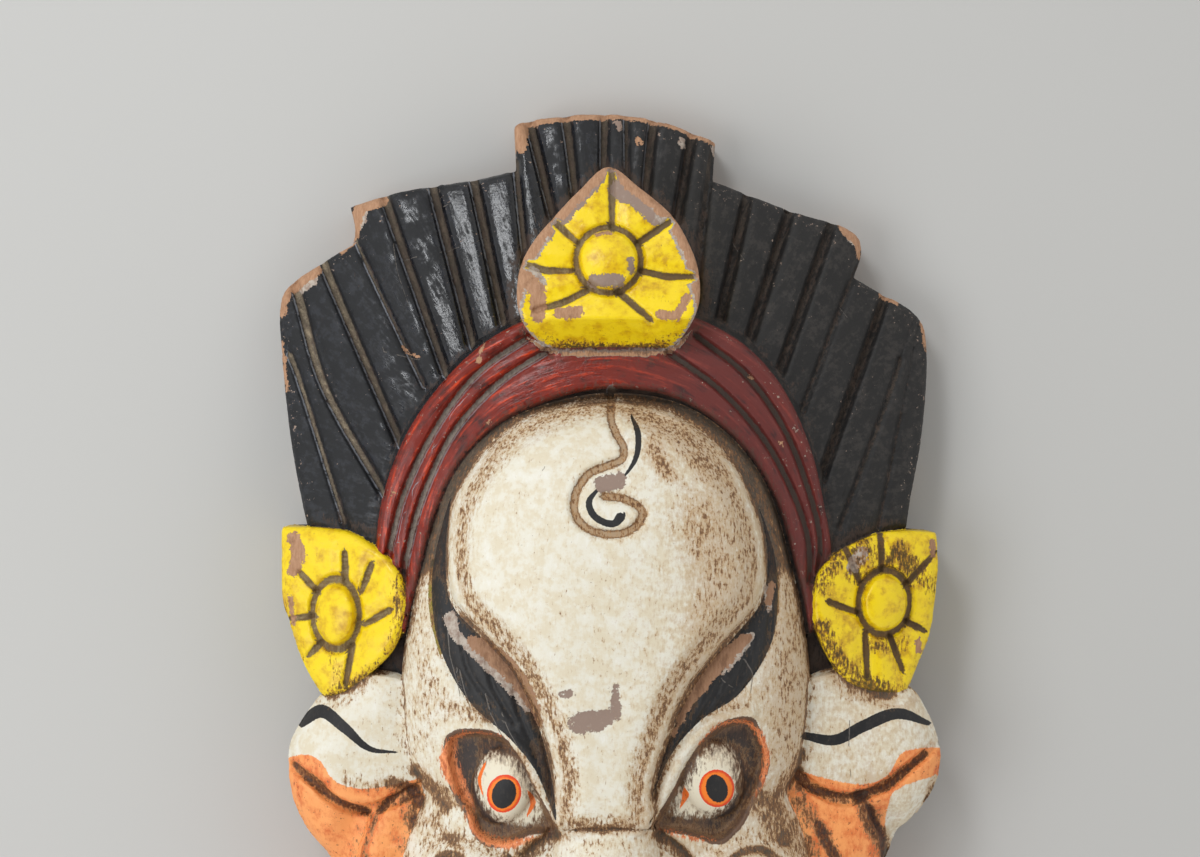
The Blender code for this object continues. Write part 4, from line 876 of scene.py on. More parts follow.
def teeth(x, y, inside):
    """The upper row of teeth with a fang at each side, as a height above the sunken mouth."""
    below = np.interp(x, UPPER_LIP[:, 0], UPPER_LIP[:, 1]) - y
    across = np.abs((x / TOOTH_WIDTH + 0.5) % 1 - 0.5) * TOOTH_WIDTH
    fang = np.abs(np.abs(x) - FANG_AT_TOOTH * TOOTH_WIDTH) < TOOTH_WIDTH / 2
    length = np.where(fang, FANG_LENGTH - 1.2 * across, TOOTH_LENGTH)
    tooth = (1 - ramp(across, 3.2, 4.6)) * (1 - ramp(below, length - 2, length + 1.2))
    return TOOTH_HEIGHT * tooth * ramp(inside, 0, 2.5) * (np.abs(x) < TEETH_HALF_WIDTH)


def cheek_and_mouth(x, y, base):
    """Round cheeks under the eyes, and a wide mouth that bares its upper teeth."""
    level = base
    for side in (-1, 1):
        level = level + CHEEK_SWELL * mound(side * x, y, CHEEK, CHEEK_RADII) ** 1.2
        level = level - cut(side * x, y, CHEEK_FOLD, CHEEK_FOLD_HALF_WIDTH, CHEEK_FOLD_DEPTH)
    inside = depth_inside(x, y, np.vstack([UPPER_LIP, LOWER_LIP[::-1]]))
    level = level - MOUTH_DEPTH * ramp(inside, 0, 3.0) + teeth(x, y, inside)
    for path, half_width, height in (
        (UPPER_LIP, UPPER_LIP_HALF_WIDTH, UPPER_LIP_HEIGHT),
        (LOWER_LIP, LOWER_LIP_HALF_WIDTH, LOWER_LIP_HEIGHT),
    ):
        distance, _ = path_distance(x, y, path, half_width)
        level = level + height * (1 - ramp(distance, 0.8, half_width))
    level = level + CHIN_SWELL * mound(x, y, CHIN, CHIN_RADII) ** 1.2
    return level - cut(x, y, LIP_CLEFT, 3.2, 2.0)


def ear_height(x, y, outline, side, fold, flap):
    """A thick ear with a round rim, a fold across it and a sunken cup below the fold."""
    inside = depth_inside(x, y, outline)
    from_rim, _ = path_distance(x, y, outline[EAR_RIM_SPAN], EAR_SWELL_WIDTH + 1)
    level = EAR_RIM + EAR_SWELL * swell(from_rim, EAR_SWELL_WIDTH) - SIDE_STEEPNESS * np.maximum(-inside, 0)
    level = level - EAR_LOBE_FALL * ramp(-y, 95, 150)
    level = level - cut(side * x, y, fold, EAR_FOLD_WIDTH, EAR_FOLD_WIDTH)
    beside = side * x - np.interp(-y, -flap[:, 1], flap[:, 0])
    below_fold = ramp(-y, 76, 86) * (1 - ramp(-y, 128, 142))
    lip = ramp(beside, -0.6, 1.2) * (1 - ramp(beside, 6, 18))
    return level - ((CUP_DEPTH + CUP_LIP) * lip + CUP_DEPTH / 2 * (beside > 0)) * below_fold


def left_ear_height(x, y):
    return ear_height(x, y, LEFT_EAR, -1, LEFT_EAR_FOLD, LEFT_EAR_FLAP)


def right_ear_height(x, y):
    return ear_height(x, y, RIGHT_EAR, 1, RIGHT_EAR_FOLD, RIGHT_EAR_FLAP)


def flower_face(x, y, level, petals, boss, boss_radii):
    """The carving on a flower: cuts between the petals, a ring, and a round boss in the middle."""
    for path in petals:
        level = level - cut(x, y, path, PETAL_GROOVE_HALF_WIDTH, PETAL_GROOVE_DEPTH)
        level = level - cut(x, y, path, PETAL_DIP_HALF_WIDTH, PETAL_DIP_DEPTH)
    spread = np.hypot((x - boss[0]) / boss_radii[0], (y - boss[1]) / boss_radii[1])
    from_edge = (spread - 1) * min(boss_radii)
    ring = gouge(np.abs(from_edge - 1.6), 2.2, BOSS_RING_DEPTH)
    dome = BOSS_HEIGHT * (1 - ramp(from_edge, -1.4, 0.8)) + BOSS_CROWN * (1 - np.clip(spread, 0, 1) ** 2)
    return level - ring + dome


def middle_flower_height(x, y):
    level = MIDDLE_FLOWER_TOP + MIDDLE_FLOWER_SLOPE * (MIDDLE_FLOWER_TIP - y)
    edge = MIDDLE_FLOWER_TOP + MIDDLE_FLOWER_SLOPE * (MIDDLE_FLOWER_TIP - MIDDLE_FLOWER_EDGE)
    level = np.minimum(level, edge - MIDDLE_FLOWER_BEVEL * (MIDDLE_FLOWER_EDGE - y))
    level = flower_face(x, y, level, MIDDLE_PETALS, MIDDLE_BOSS, MIDDLE_BOSS_RADII)
    return level - rounded_drop(depth_inside(x, y, MIDDLE_FLOWER), MIDDLE_FLOWER_ROUND)


def side_flower_height(x, y, outline, petals, boss, boss_radii):
    level = FLOWER_AT_BOSS - FLOWER_SLOPE * (np.abs(x) - abs(boss[0]))
    level = flower_face(x, y, level, petals, boss, boss_radii)
    return level - rounded_drop(depth_inside(x, y, outline), FLOWER_ROUND)


def left_flower_height(x, y):
    return side_flower_height(x, y, LEFT_FLOWER, LEFT_PETALS, LEFT_BOSS, LEFT_BOSS_RADII)


def right_flower_height(x, y):
    return side_flower_height(x, y, RIGHT_FLOWER, RIGHT_PETALS, RIGHT_BOSS, RIGHT_BOSS_RADII)


def featured_head_height(x, y):
    """The head with its forehead, brows, eyes, mouth, nose and the curl on its forehead."""
    level = head_height(x, y) + forehead_lift(x, y) + brow_relief(x, y)
    level = eye_surface(x, y, level)
    level = cheek_and_mouth(x, y, level)
    level = nose_height(x, y, level)
    level = level - cut(x, y, CURL, CURL_HALF_WIDTH, CURL_DEPTH)
    for seam in (EAR_SEAM_LEFT, EAR_SEAM_RIGHT):
        level = level - cut(x, y, seam, EAR_SEAM_HALF_WIDTH, EAR_SEAM_DEPTH)
    return level


# The whole front: the flowers, and the forms that they stand on
FLOWERS = [
    (MIDDLE_FLOWER, MIDDLE_PETALS, MIDDLE_BOSS, MIDDLE_BOSS_RADII, middle_flower_height),
    (LEFT_FLOWER[:-1], LEFT_PETALS, LEFT_BOSS, LEFT_BOSS_RADII, left_flower_height),
    (RIGHT_FLOWER[:-1], RIGHT_PETALS, RIGHT_BOSS, RIGHT_BOSS_RADII, right_flower_height),
]


def ground_forms(x, y):
    """The height of each form of the carved front but the flowers, which stand on it."""
    forms = (crest_height, band_height, featured_head_height, left_ear_height, right_ear_height)
    return np.array([form(x, y) for form in forms])


def joined(forms):
    """The one surface that the forms make together, with small fillets where two of them meet."""
    crest, band, head, left_ear, right_ear = forms
    level = blended_max(blended_max(crest, band, FILLET), head, FILLET)
    return blended_max(blended_max(level, left_ear, EAR_FILLET), right_ear, EAR_FILLET)


def face_outline():
    half = curve_through([(w, p) for p, w in HALF_FACE])
    return np.vstack([half, [(-w, p) for w, p in half[::-1]]])


SILHOUETTE = [CREST, face_outline(), LEFT_EAR, RIGHT_EAR, LEFT_FLOWER[:-1], RIGHT_FLOWER[:-1]]


# Fine carving on the forms
def value_noise(x, y, seed):
    """Smooth hashed noise from -1 to 1 that changes over about one unit."""
    column, row = np.floor(x), np.floor(y)
    across, along = x - column, y - row
    across, along = across**2 * (3 - 2 * across), along**2 * (3 - 2 * along)

    def knot(right, up):
        hashed = np.sin((column + right) * 127.1 + (row + up) * 311.7 + seed * 74.7) * 43758.5453
        return 2 * (hashed - np.floor(hashed)) - 1

    low = knot(0, 0) * (1 - across) + knot(1, 0) * across
    high = knot(0, 1) * (1 - across) + knot(1, 1) * across
    return low * (1 - along) + high * along


def fan_place(x, y):
    """Where a point lies on the fan of the crest and the band: how far out, and how far round."""
    out = np.hypot(x - FAN_CENTRE[0], y - FAN_CENTRE[1])
    return out, np.arctan2(x - FAN_CENTRE[0], y - FAN_CENTRE[1]) * FAN_RADIUS


def nearest_mark(x, y, marks, reach=REACH):
    """How far inside the nearest mark a point lies, its offset across the mark, and half the mark's width.

    Each mark is a path with half widths along it. The offset changes evenly from side to side,
    so that even a mark as thin as the mesh's triangles keeps its shape when it is read from them.
    """
    nearest = no_mark(x, reach)
    for path, *widths in marks:
        distance, share, side = nearest_on_path(x, y, path, reach + max(widths))
        half = np.interp(share, np.linspace(0, 1, len(widths)), widths)
        nearest = nearer_mark(nearest, np.array([half - distance, side * distance, half]))
    return nearest


def no_mark(x, reach=REACH):
    return np.array([np.full(x.shape, -reach), np.full(x.shape, reach), np.zeros(x.shape)])


def nearer_mark(one, other, where=True):
    return np.where((other[0] > one[0]) & where, other, one)


def patch_inside(x, y, patches, reach=REACH):
    """How far inside the nearest of some patches a point lies."""
    return nearest_mark(x, y, patches, reach)[0]


def forehead_rim(inside, y):
    """The worn channel inside the raised lip of the forehead, which reaches the edge at the top."""
    inside = inside + 3.5 * ramp(y, 55, 75)
    return ramp(inside, 1.8, 5.0) * (1 - ramp(inside, 6.0, 14.0))


def share_on(forms, *chosen):
    """1 where one of the chosen forms is the highest, 0 where another one is."""
    return ramp(forms[list(chosen)].max(0) - np.delete(forms, chosen, 0).max(0), -0.5, 1.0)


def fine_ground(x, y, carving):
    """The carved ground with rolled flute edges, uneven tool work and chips."""
    forms = ground_forms(x, y)
    level = joined(forms)
    on_crest, on_head, on_ear = share_on(forms, 0), share_on(forms, 2), share_on(forms, 3, 4)
    out, round_fan = fan_place(x, y)
    roll = sum(
        cut(x, y, path, GOUGE_HALF_WIDTH * (0.5 + 0.5 * share) + FLUTE_ROLL_WIDTH, share)
        for path, share in HAIR_GOUGES
    )
    waves = value_noise(out / FLUTE_WAVE_LENGTH, round_fan / FLUTE_WAVE_WIDTH, 1)
    level -= on_crest * (carving.flute_roll / MM * roll - 0.6 * carving.unevenness / MM * waves)
    dents = value_noise(x / HEAD_WAVE, y / HEAD_WAVE, 2)
    dents += 0.35 * value_noise(x / HEAD_DENT, y / HEAD_DENT, 3)
    level += carving.unevenness / MM * np.maximum(on_head, on_ear) * dents
    level -= on_head * carving.rim_channel / MM * forehead_rim(depth_inside(x, y, FOREHEAD, 12.0), y)
    level -= sum(cut(x, y, arc, CHEEK_ARC_HALF_WIDTH, SHALLOW_FOLD_DEPTH) for arc in CHEEK_ARCS)
    level -= sum(
        cut(x, y, path, half_width + CRUST_MARGIN, SHALLOW_FOLD_DEPTH) for path, half_width, _ in EAR_CRUSTS
    )
    gone = patch_inside(x, y, BARE_CREST + BARE_BAND + BARE_HEAD + PRIMER_HEAD, CHIP_REACH)
    return level - carving.chip_depth / MM * ramp(gone, -0.5, 0.5)


def flowers_near(x, y):
    """The flowers that come within reach of the points."""
    for flower in FLOWERS:
        low, high = flower[0].min(0) - REACH, flower[0].max(0) + REACH
        if x.max() >= low[0] and x.min() <= high[0] and y.max() >= low[1] and y.min() <= high[1]:
            yield flower


def fine_flowers(x, y, carving):
    """The height of the flowers, and how far inside a flower's outline each point lies."""
    height, inside = np.zeros(x.shape), np.full(x.shape, -REACH)
    for outline, _, _, _, form in flowers_near(x, y):
        here = depth_inside(x, y, outline, REACH)
        height = np.where(here > inside, form(x, y), height)
        inside = np.maximum(inside, here)
    dents = value_noise(x / FLOWER_DENT, y / FLOWER_DENT, 4)
    gone = patch_inside(x, y, BARE_FLOWERS + PRIMER_FLOWERS, CHIP_REACH)
    height += 0.7 * carving.unevenness / MM * dents - carving.chip_depth / MM * ramp(gone, -0.5, 0.5)
    return height, inside


def silhouette_inside(x, y):
    """How far inside the outline of the whole mask a point lies, at most REACH either way."""
    return np.max([depth_inside(x, y, outline, REACH) for outline in SILHOUETTE], axis=0)


def ellipse_inside(x, y, centre, radii, turn):
    """Roughly how far inside an ellipse a point lies, at most REACH either way."""
    return np.clip((1 - np.hypot(*in_ellipse(x, y, centre, radii, turn))) * min(radii), -REACH, REACH)


def orange_inside(x, y, over_head):
    """How far inside the orange of the ears a point lies, below its edge and off the white patch."""
    below = np.where(x < 0, np.interp(x, *LEFT_ORANGE_EDGE.T), np.interp(x, *RIGHT_ORANGE_EDGE.T))
    orange = np.minimum(0.6 * over_head + 0.6, 0.85 * (below - y))
    return np.minimum(orange, -depth_inside(x, y, np.array(RIGHT_EAR_WHITE, float), REACH))


def eye_places(x, y):
    """How far inside a socket, a painted eyeball, an iris and a pupil a point lies."""
    socket, eyeball, iris, pupil = (np.full(x.shape, -REACH) for _ in range(4))
    for outline, centre, white, iris_centre, iris_radii, pupil_radii, turn in EYES:
        outer = 1.6 * ramp(np.abs(x), abs(centre[0]) - 8, abs(centre[0]) + 6)
        socket = np.maximum(socket, depth_inside(x, y, outline, REACH) + outer)
        eyeball = np.maximum(eyeball, depth_inside(x, y, white, REACH))
        iris = np.maximum(iris, ellipse_inside(x, y, iris_centre, iris_radii, turn))
        pupil = np.maximum(pupil, ellipse_inside(x, y, iris_centre, pupil_radii, turn))
    return socket, eyeball, iris, pupil


def mouth_places(x, y):
    """How far inside the mouth, the lips, a tooth and a nostril a point lies."""
    mouth = depth_inside(x, y, np.vstack([UPPER_LIP, LOWER_LIP[::-1]]), REACH)
    from_lip = np.minimum(path_distance(x, y, UPPER_LIP, 12)[0], path_distance(x, y, LOWER_LIP, 12)[0])
    nostrils = [8 * cap(side * x, y, NOSTRIL, NOSTRIL_RADII, NOSTRIL_TURN) - 2 for side in (-1, 1)]
    return mouth, 4.6 - from_lip, teeth(x, y, mouth) - 2.0, np.max(nostrils, axis=0)


def groove_mark(x, y, on_crest, on_band, on_head):
    """The nearest gouge of the crest, groove of the band or curl, each only where its own form shows."""
    gouges = [(path, *(share * half for half in GOUGE_BOTTOM)) for path, share in HAIR_GOUGES]
    band_grooves = [(path, BAND_GROOVE_BOTTOM) for path in BAND_GROOVES]
    mark = no_mark(x)
    for marks, where in ((gouges, on_crest), (band_grooves, on_band), ([(CURL, CURL_BOTTOM)], on_head)):
        mark = nearer_mark(mark, nearest_mark(x, y, marks), where)
    return mark


def stains_and_shade_at(x, y, stains):
    """How dark the darkest of some stains and painted fold shadows is at a point."""
    dirt_and_shade = np.zeros(x.shape)
    for path, half_width, share in stains:
        distance, _ = path_distance(x, y, path, 2 * half_width)
        dirt_and_shade = np.maximum(dirt_and_shade, share * (1 - ramp(distance, 0.3 * half_width, 1.7 * half_width)))
    return dirt_and_shade


def corner_shade_and_grime(x, y, in_forehead, on_band, over_band):
    """How much grime and painted shade lie under the band's inner edge, along it, and round the flowers
    where they stand on the ground.
    """
    under = (1 - ramp(in_forehead + 2.2 * ramp(y, 55, 75), -2.5, 3.5)) * ramp(y, 14, 22)
    along = 0.85 - 0.85 * ramp(path_distance(x, y, BAND_INNER, 8)[0], 0.0, 6.0)
    off_flower = -nearest_flower(x, y)
    return np.max([
        np.where(over_band, under, 0), np.where(on_band, along, 0),
        0.75 - 0.75 * ramp(off_flower, 0.8, 3.5), 0.4 - 0.4 * ramp(off_flower, 3.0, 7.9),
    ], axis=0)


def ground_grime_and_shade(x, y, on_band, over_ears, over_band):
    """How much grime and painted shade lie on the ground: the stains, and the places where grime gathers,
    with painted shade in the folds, under the band's edge, round the flowers and on the temples.
    """
    in_forehead = depth_inside(x, y, FOREHEAD)
    temple = ramp(np.abs(x), 58, 76) * (1 - ramp(np.abs(y + 20), 30, 60)) * over_ears * over_band
    return np.max([
        stains_and_shade_at(x, y, STAINS_AND_SHADE),
        0.95 * forehead_rim(in_forehead, y),
        0.32 * ramp(-y, 64, 90) * over_ears,
        0.4 * (1 - ramp(path_distance(x, y, CURL, 6)[0], 1.5, 4.5)),
        # The temples darken, the right one more: partly painted shade of the sides turned from the light,
        # partly grime.
        np.where(x > 0, 0.74, 0.5) * temple,
        1.5 * corner_shade_and_grime(x, y, in_forehead, on_band, over_band),
    ], axis=0)


def brush_place(x, y, on_fan, in_band):
    """How far along and across the brush strokes a point lies: they fan out on the crest and band."""
    out, round_fan = fan_place(x, y)
    along = np.where(on_fan, np.where(in_band < 0, out, round_fan), y)
    return along, np.where(on_fan, np.where(in_band < 0, round_fan, out), x)


def paint_places(x, y):
    """How far inside each painted or worn place of the front a point lies, flowers left out."""
    crest, band, head, left_ear, right_ear = ground_forms(x, y)
    ears = np.maximum(left_ear, right_ear)
    in_band = depth_inside(x, y, BAND, REACH)
    on_crest = 0.6 * (np.maximum(crest, band) - np.maximum(head, ears)) + 0.3
    on_band = np.minimum(in_band + 0.3, 0.6 * (band - np.maximum(head, ears)) + 0.4)
    brow = np.maximum(depth_inside(x, y, LEFT_BROW, REACH), depth_inside(x, y, RIGHT_BROW, REACH))
    socket, eyeball, iris, pupil = eye_places(x, y)
    places = [
        on_crest, on_band, orange_inside(x, y, ears - head), np.maximum(brow, pupil),
        patch_inside(x, y, OLIVE_STRIPS), socket, patch_inside(x, y, EYE_RIMS), eyeball, iris,
        *mouth_places(x, y),
        patch_inside(x, y, BARE_CREST + BARE_BAND + BARE_HEAD),
        patch_inside(x, y, PRIMER_CREST + PRIMER_HEAD),
        ground_grime_and_shade(x, y, on_band > 0, head > ears, head > band),
    ]
    marks = [
        *groove_mark(x, y, (on_crest > 0) & (in_band < 0), on_band > -1, head > crest),
        *nearest_mark(x, y, LINES), *nearest_mark(x, y, EYE_MARKS), *nearest_mark(x, y, SCRATCHES),
    ]
    return np.array([*places, *marks, *brush_place(x, y, (on_crest > -1) | (on_band > -1), in_band)])


# What paint_places finds, in its order: a distance inside each place, and three values for each mark
PLACES = (
    "crest", "band", "orange", "area", "olive", "socket", "rim", "eyeball", "iris", "mouth", "lips", "tooth",
    "nostril", "bare", "primer", "dirt_and_shade",
)
MARKS = ("groove", "line", "arc", "scratch")


def flower_places(x, y):
    """The same for what is on the flowers: bare wood, primer, grime, cuts and the bare rim."""
    groove = no_mark(x)
    rim = np.full(x.shape, -REACH)
    for outline, petals, boss, radii, _ in flowers_near(x, y):
        cuts = nearest_mark(x, y, [(path, *PETAL_GROOVE_BOTTOM) for path in petals])
        groove = nearer_mark(groove, cuts)
        ring = -ellipse_inside(x, y, boss, radii, 0.0) - BOSS_RING_OFFSET
        half = np.full(x.shape, BOSS_RING_BOTTOM)
        groove = nearer_mark(groove, np.array([half - np.abs(ring), ring, half]))
        if outline is MIDDLE_FLOWER:
            inside = depth_inside(x, y, outline, REACH)
            lips = 1 - ramp(np.abs(cuts[1]), 1.6, 3.4)
            rim = np.where(inside > -3, (4.6 - 3.4 * lips) * ramp(y, 124, 142) - 0.4 - inside, rim)
    bare = patch_inside(x, y, BARE_FLOWERS)
    primer = patch_inside(x, y, PRIMER_FLOWERS)
    return np.array([bare, primer, stains_and_shade_at(x, y, FLOWER_STAINS), *groove, rim])


def nearest_flower(x, y):
    """How far inside the outline of the nearest flower a point lies."""
    return np.max([depth_inside(x, y, outline, REACH) for outline, *_ in FLOWERS], axis=0)


# The mesh of the mask
class ReliefMap:
    """The front's height on a fine grid, for how deep or how proud each place lies."""

    def __init__(self, carving, step):
        across = np.arange(-HALF_WIDTH - MAP_MARGIN, HALF_WIDTH + MAP_MARGIN, step)
        along = np.arange(-CREST_TOP - MAP_MARGIN, CREST_TOP + MAP_MARGIN, step)
        x, y = np.meshgrid(across, along)
        ground, flower, inside = by_tiles(lambda a, b: surfaces(a, b, carving), x.ravel(), y.ravel())
        self.low, self.step = (across[0], along[0]), step
        self.ground = np.maximum(ground, 0).reshape(x.shape)
        top = np.where(inside > 0, np.maximum(ground, flower), ground)
        self.top = np.maximum(top, 0).reshape(x.shape)

    def blurred(self, radius):
        """The height averaged over this radius."""
        rows, columns = self.top.shape
        wave_y = np.fft.fftfreq(rows, self.step)[:, None]
        wave_x = np.fft.rfftfreq(columns, self.step)[None, :]
        keep = np.exp(-2 * (np.pi * radius) ** 2 * (wave_x**2 + wave_y**2))
        return np.fft.irfft2(np.fft.rfft2(self.top) * keep, s=self.top.shape)

    def read(self, grid, x, y):
        """The grid's value at each point, between its four nearest knots."""
        column = np.clip((x - self.low[0]) / self.step, 0, grid.shape[1] - 1.001)
        row = np.clip((y - self.low[1]) / self.step, 0, grid.shape[0] - 1.001)
        left, under = column.astype(int), row.astype(int)
        across, along = column - left, row - under
        low = grid[under, left] * (1 - across) + grid[under, left + 1] * across
        high = grid[under + 1, left] * (1 - across) + grid[under + 1, left + 1] * across
        return low * (1 - along) + high * along


def surfaces(x, y, carving):
    """The ground's height, the flowers' height, and how far inside a flower each point lies."""
    height, inside = fine_flowers(x, y, carving)
    return np.array([fine_ground(x, y, carving), height, inside])


def select_only(piece):
    bpy.ops.object.select_all(action="DESELECT")
    piece.select_set(True)
    bpy.context.view_layer.objects.active = piece


def apply_modifier(piece, kind, **settings):
    made = piece.modifiers.new(kind.title(), kind)
    for name, value in settings.items():
        setattr(made, name, value)
    bpy.ops.object.modifier_apply(modifier=made.name)


def read_points(mesh):
    """The mesh's points in millimetres, and its normals."""
    points, normals = np.empty(len(mesh.vertices) * 3), np.empty(len(mesh.vertices) * 3)
    mesh.vertices.foreach_get("co", points)
    mesh.vertex_normals.foreach_get("vector", normals)
    return points.reshape(-1, 3) / MM, normals.reshape(-1, 3)


def write_points(mesh, points):
    mesh.vertices.foreach_set("co", (points * MM).ravel())
    mesh.update()


def rough_block(step):
    """A copy of the solid in the frame, cut into small even squares."""
    piece = bpy.data.objects.new("painted_mask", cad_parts["mask"].data.copy())
    bpy.context.collection.objects.link(piece)
    piece.data.materials.clear()
    select_only(piece)
    bpy.ops.object.mode_set(mode="EDIT")
    bpy.ops.mesh.select_all(action="SELECT")
    bpy.ops.mesh.remove_doubles(threshold=WELD_DISTANCE)
    bpy.ops.object.mode_set(mode="OBJECT")
    apply_modifier(piece, "REMESH", mode="VOXEL", voxel_size=step, use_smooth_shade=True)
    return piece


def carve_front(points, normals, relief, carving):
    """Moves the points of the front and the sides onto the carved surface."""
    x, y, z = points.T
    ground = relief.read(relief.ground, x, y)
    front = (normals[:, 2] > STEEPEST_UP) & (z > ground - FRONT_REACH)
    level, flower, inside = by_tiles(lambda a, b: surfaces(a, b, carving), x[front], y[front])
    here = z[front]
    on_flower = (inside > -FLOWER_OVERLAP) & (np.abs(flower - here) < np.abs(level - here))
    points[front, 2] += np.clip(np.where(on_flower, flower, level) - here, -MOST_MOVED, MOST_MOVED)

    wall = np.flatnonzero((np.abs(normals[:, 2]) <= STEEPEST_UP) & (z > ground - WALL_REACH))
    edge = by_tiles(silhouette_inside, x[wall], y[wall])[0]
    flower_edge = by_tiles(nearest_flower, x[wall], y[wall])[0]
    on_flower = (z[wall] > ground[wall] + FLOWER_STANDS) & (np.abs(flower_edge) < WALL_NEAR)
    off = np.where(on_flower, flower_edge, np.where(np.abs(edge) < WALL_NEAR, edge, 0))
    outwards = normals[wall, :2] / np.maximum(np.hypot(*normals[wall, :2].T), 1e-6)[:, None]
    points[wall, :2] += outwards * off[:, None]


def carved_bowls():
    """The hollow, and the scoops of both sides: the centre and the radii of each."""
    bowls = [(HOLLOW_CENTRE, HOLLOW_RADII)]
    for side in (-1, 1):
        for centre, radii in (
            (UNDERCUT_CENTRE, UNDERCUT_RADII), (CREST_UNDERCUT_CENTRE, CREST_UNDERCUT_RADII),
        ):
            bowls.append(((side * centre[0], centre[1], centre[2]), radii))
    return bowls


def gouge_rows(x, y, deepest):
    """The depth of the gouge's slightly bent rows in the back."""
    bend = value_noise(x / GOUGE_ROW_BEND[0], y / GOUGE_ROW_BEND[1], 5)
    rows = x / GOUGE_ROW_WIDTH + 0.5 * bend
    depth = deepest * (1 - (2 * (rows - np.floor(rows)) - 1) ** 2)
    return depth * (0.7 + 0.3 * value_noise(np.floor(rows), y / GOUGE_CUT_LENGTH, 6))


def carve_back(points, normals, carving):
    """Puts the hollow and the scoops on true bowls with the gouge's rows, and flattens the rest."""
    scoop = gouge_rows(points[:, 0], points[:, 1], carving.tool_marks / MM)
    for centre, radii in carved_bowls():
        off = points - centre
        spread = np.sqrt(((off / radii) ** 2).sum(1))
        reach = np.sqrt((off**2).sum(1))
        near = np.abs(spread - 1) * reach / np.maximum(spread, 0.1) < BOWL_NEAR
        near &= (normals[:, 2] < BOWL_FACING) & (points[:, 2] > BOWL_ABOVE)
        near &= (normals * off / np.square(radii)).sum(1) < 0
        move = off / np.maximum(spread, 0.1)[:, None] - off + off / reach[:, None] * scoop[:, None]
        points[near] += move[near]
    flat = (normals[:, 2] < FLAT_FACING) & (points[:, 2] < FLAT_BELOW)
    points[flat, 2] = 0.0


def keep_detail(piece, points):
    """A vertex group that spares the painted lines and eyes when the mesh is thinned."""
    x, y, z = points.T
    spared = (by_tiles(detail_inside, x, y)[0] > -DETAIL_MARGIN) & (z > DETAIL_ABOVE)
    group = piece.vertex_groups.new(name="thinned")
    group.add(np.flatnonzero(~spared).tolist(), 1.0, "REPLACE")
    return group.name


def detail_inside(x, y):
    eyes = [depth_inside(x, y, outline, DETAIL_REACH) for outline, *_ in EYES]
    lines = patch_inside(x, y, [*LINES, (CURL, 3.0)], DETAIL_REACH)
    return np.max([*eyes, lines, nearest_flower(x, y)], axis=0)


def set_attribute(mesh, name, values):
    made = mesh.attributes.new(name, "FLOAT", "POINT")
    made.data.foreach_set("value", values.astype(np.float32))


def set_vectors(mesh, name, rows):
    made = mesh.attributes.new(name, "FLOAT_VECTOR", "POINT")
    made.data.foreach_set("vector", np.stack(rows, 1).astype(np.float32).ravel())


def mark_flowers(places, x, y, z, here, carving):
    """Puts what is painted on the flowers in the rows of places, at the points that lie here."""
    bare, primer, dirt_and_shade, *groove, rim = by_tiles(flower_places, x[here], y[here])
    top = by_tiles(lambda a, b: fine_flowers(a, b, carving)[0], x[here], y[here])[0]
    rim -= np.maximum(top - z[here] - 2.5, 0)
    places[PLACES.index("bare"), here] = np.maximum(bare, rim)
    places[PLACES.index("primer"), here] = np.maximum(primer, rim + 1.2)
    places[PLACES.index("dirt_and_shade"), here] = dirt_and_shade
    first = len(PLACES) + 3 * MARKS.index("groove")
    places[first:first + 3, here] = groove


def mark_hollows(mesh, relief, points, upper):
    """Keeps on each point how deep or how proud it lies among its neighbours."""
    x, y, z = points.T
    for name, sign in (("cavity", 1), ("edge", -1)):
        deep = np.zeros(len(x))
        for radius, share in HOLLOWS:
            deep += share * np.maximum(sign * (relief.read(relief.blurred(radius), x, y) - z), 0)
        deep[~upper] = 0
        set_attribute(mesh, name, np.clip(deep / DEEPEST_HOLLOW, 0, 1))


def mark_paint(mesh, relief, carving):
    """Keeps on each point how far inside each painted place it lies."""
    points, _ = read_points(mesh)
    x, y, z = points.T
    ground = relief.read(relief.ground, x, y)
    edge = by_tiles(silhouette_inside, x, y)[0]
    upper = z > ground - UPPER_REACH
    seen = upper | (edge < WALL_NEAR)
    places = np.full((len(PLACES) + 3 * len(MARKS) + 2, len(x)), -REACH)
    places[:, seen] = by_tiles(paint_places, x[seen], y[seen])
    flower_edge = np.full(len(x), -REACH)
    flower_edge[seen] = by_tiles(nearest_flower, x[seen], y[seen])[0]
    flower = np.minimum(flower_edge + 1.0, z - ground - 0.9)
    mark_flowers(places, x, y, z, np.flatnonzero(flower > -1.5), carving)

    for name, values in zip(PLACES, places):
        set_attribute(mesh, name, np.clip(values, -REACH, REACH))
    for index, name in enumerate(MARKS):
        first = len(PLACES) + 3 * index
        set_vectors(mesh, name, places[first:first + 3])
    set_attribute(mesh, "flower", flower)
    set_vectors(mesh, "brush", (*places[-2:], z))
    inner = np.where(seen, -REACH, np.minimum(edge - 1.2, ground - z - 5))
    set_attribute(mesh, "back", np.maximum(inner, np.minimum(3.5 - z, 4)))
    mark_hollows(mesh, relief, points, upper)


def make_mesh(carving):
    """The carved mask, with what is painted kept on its points."""
    relief = ReliefMap(carving, MAP_STEP)
    piece = rough_block(carving.mesh_step * (1))
    points, normals = read_points(piece.data)
    carve_front(points, normals, relief, carving)
    carve_back(points, normals, carving)
    group = keep_detail(piece, points)
    write_points(piece.data, points)
    share = carving.triangles / (2 * len(piece.data.polygons))
    if share < 1:
        apply_modifier(
            piece, "DECIMATE", ratio=share, vertex_group=group, vertex_group_factor=1.0,
            use_collapse_triangulate=True,
        )
    piece.vertex_groups.clear()
    mark_paint(piece.data, relief, carving)
    bpy.ops.object.shade_smooth()
    return piece


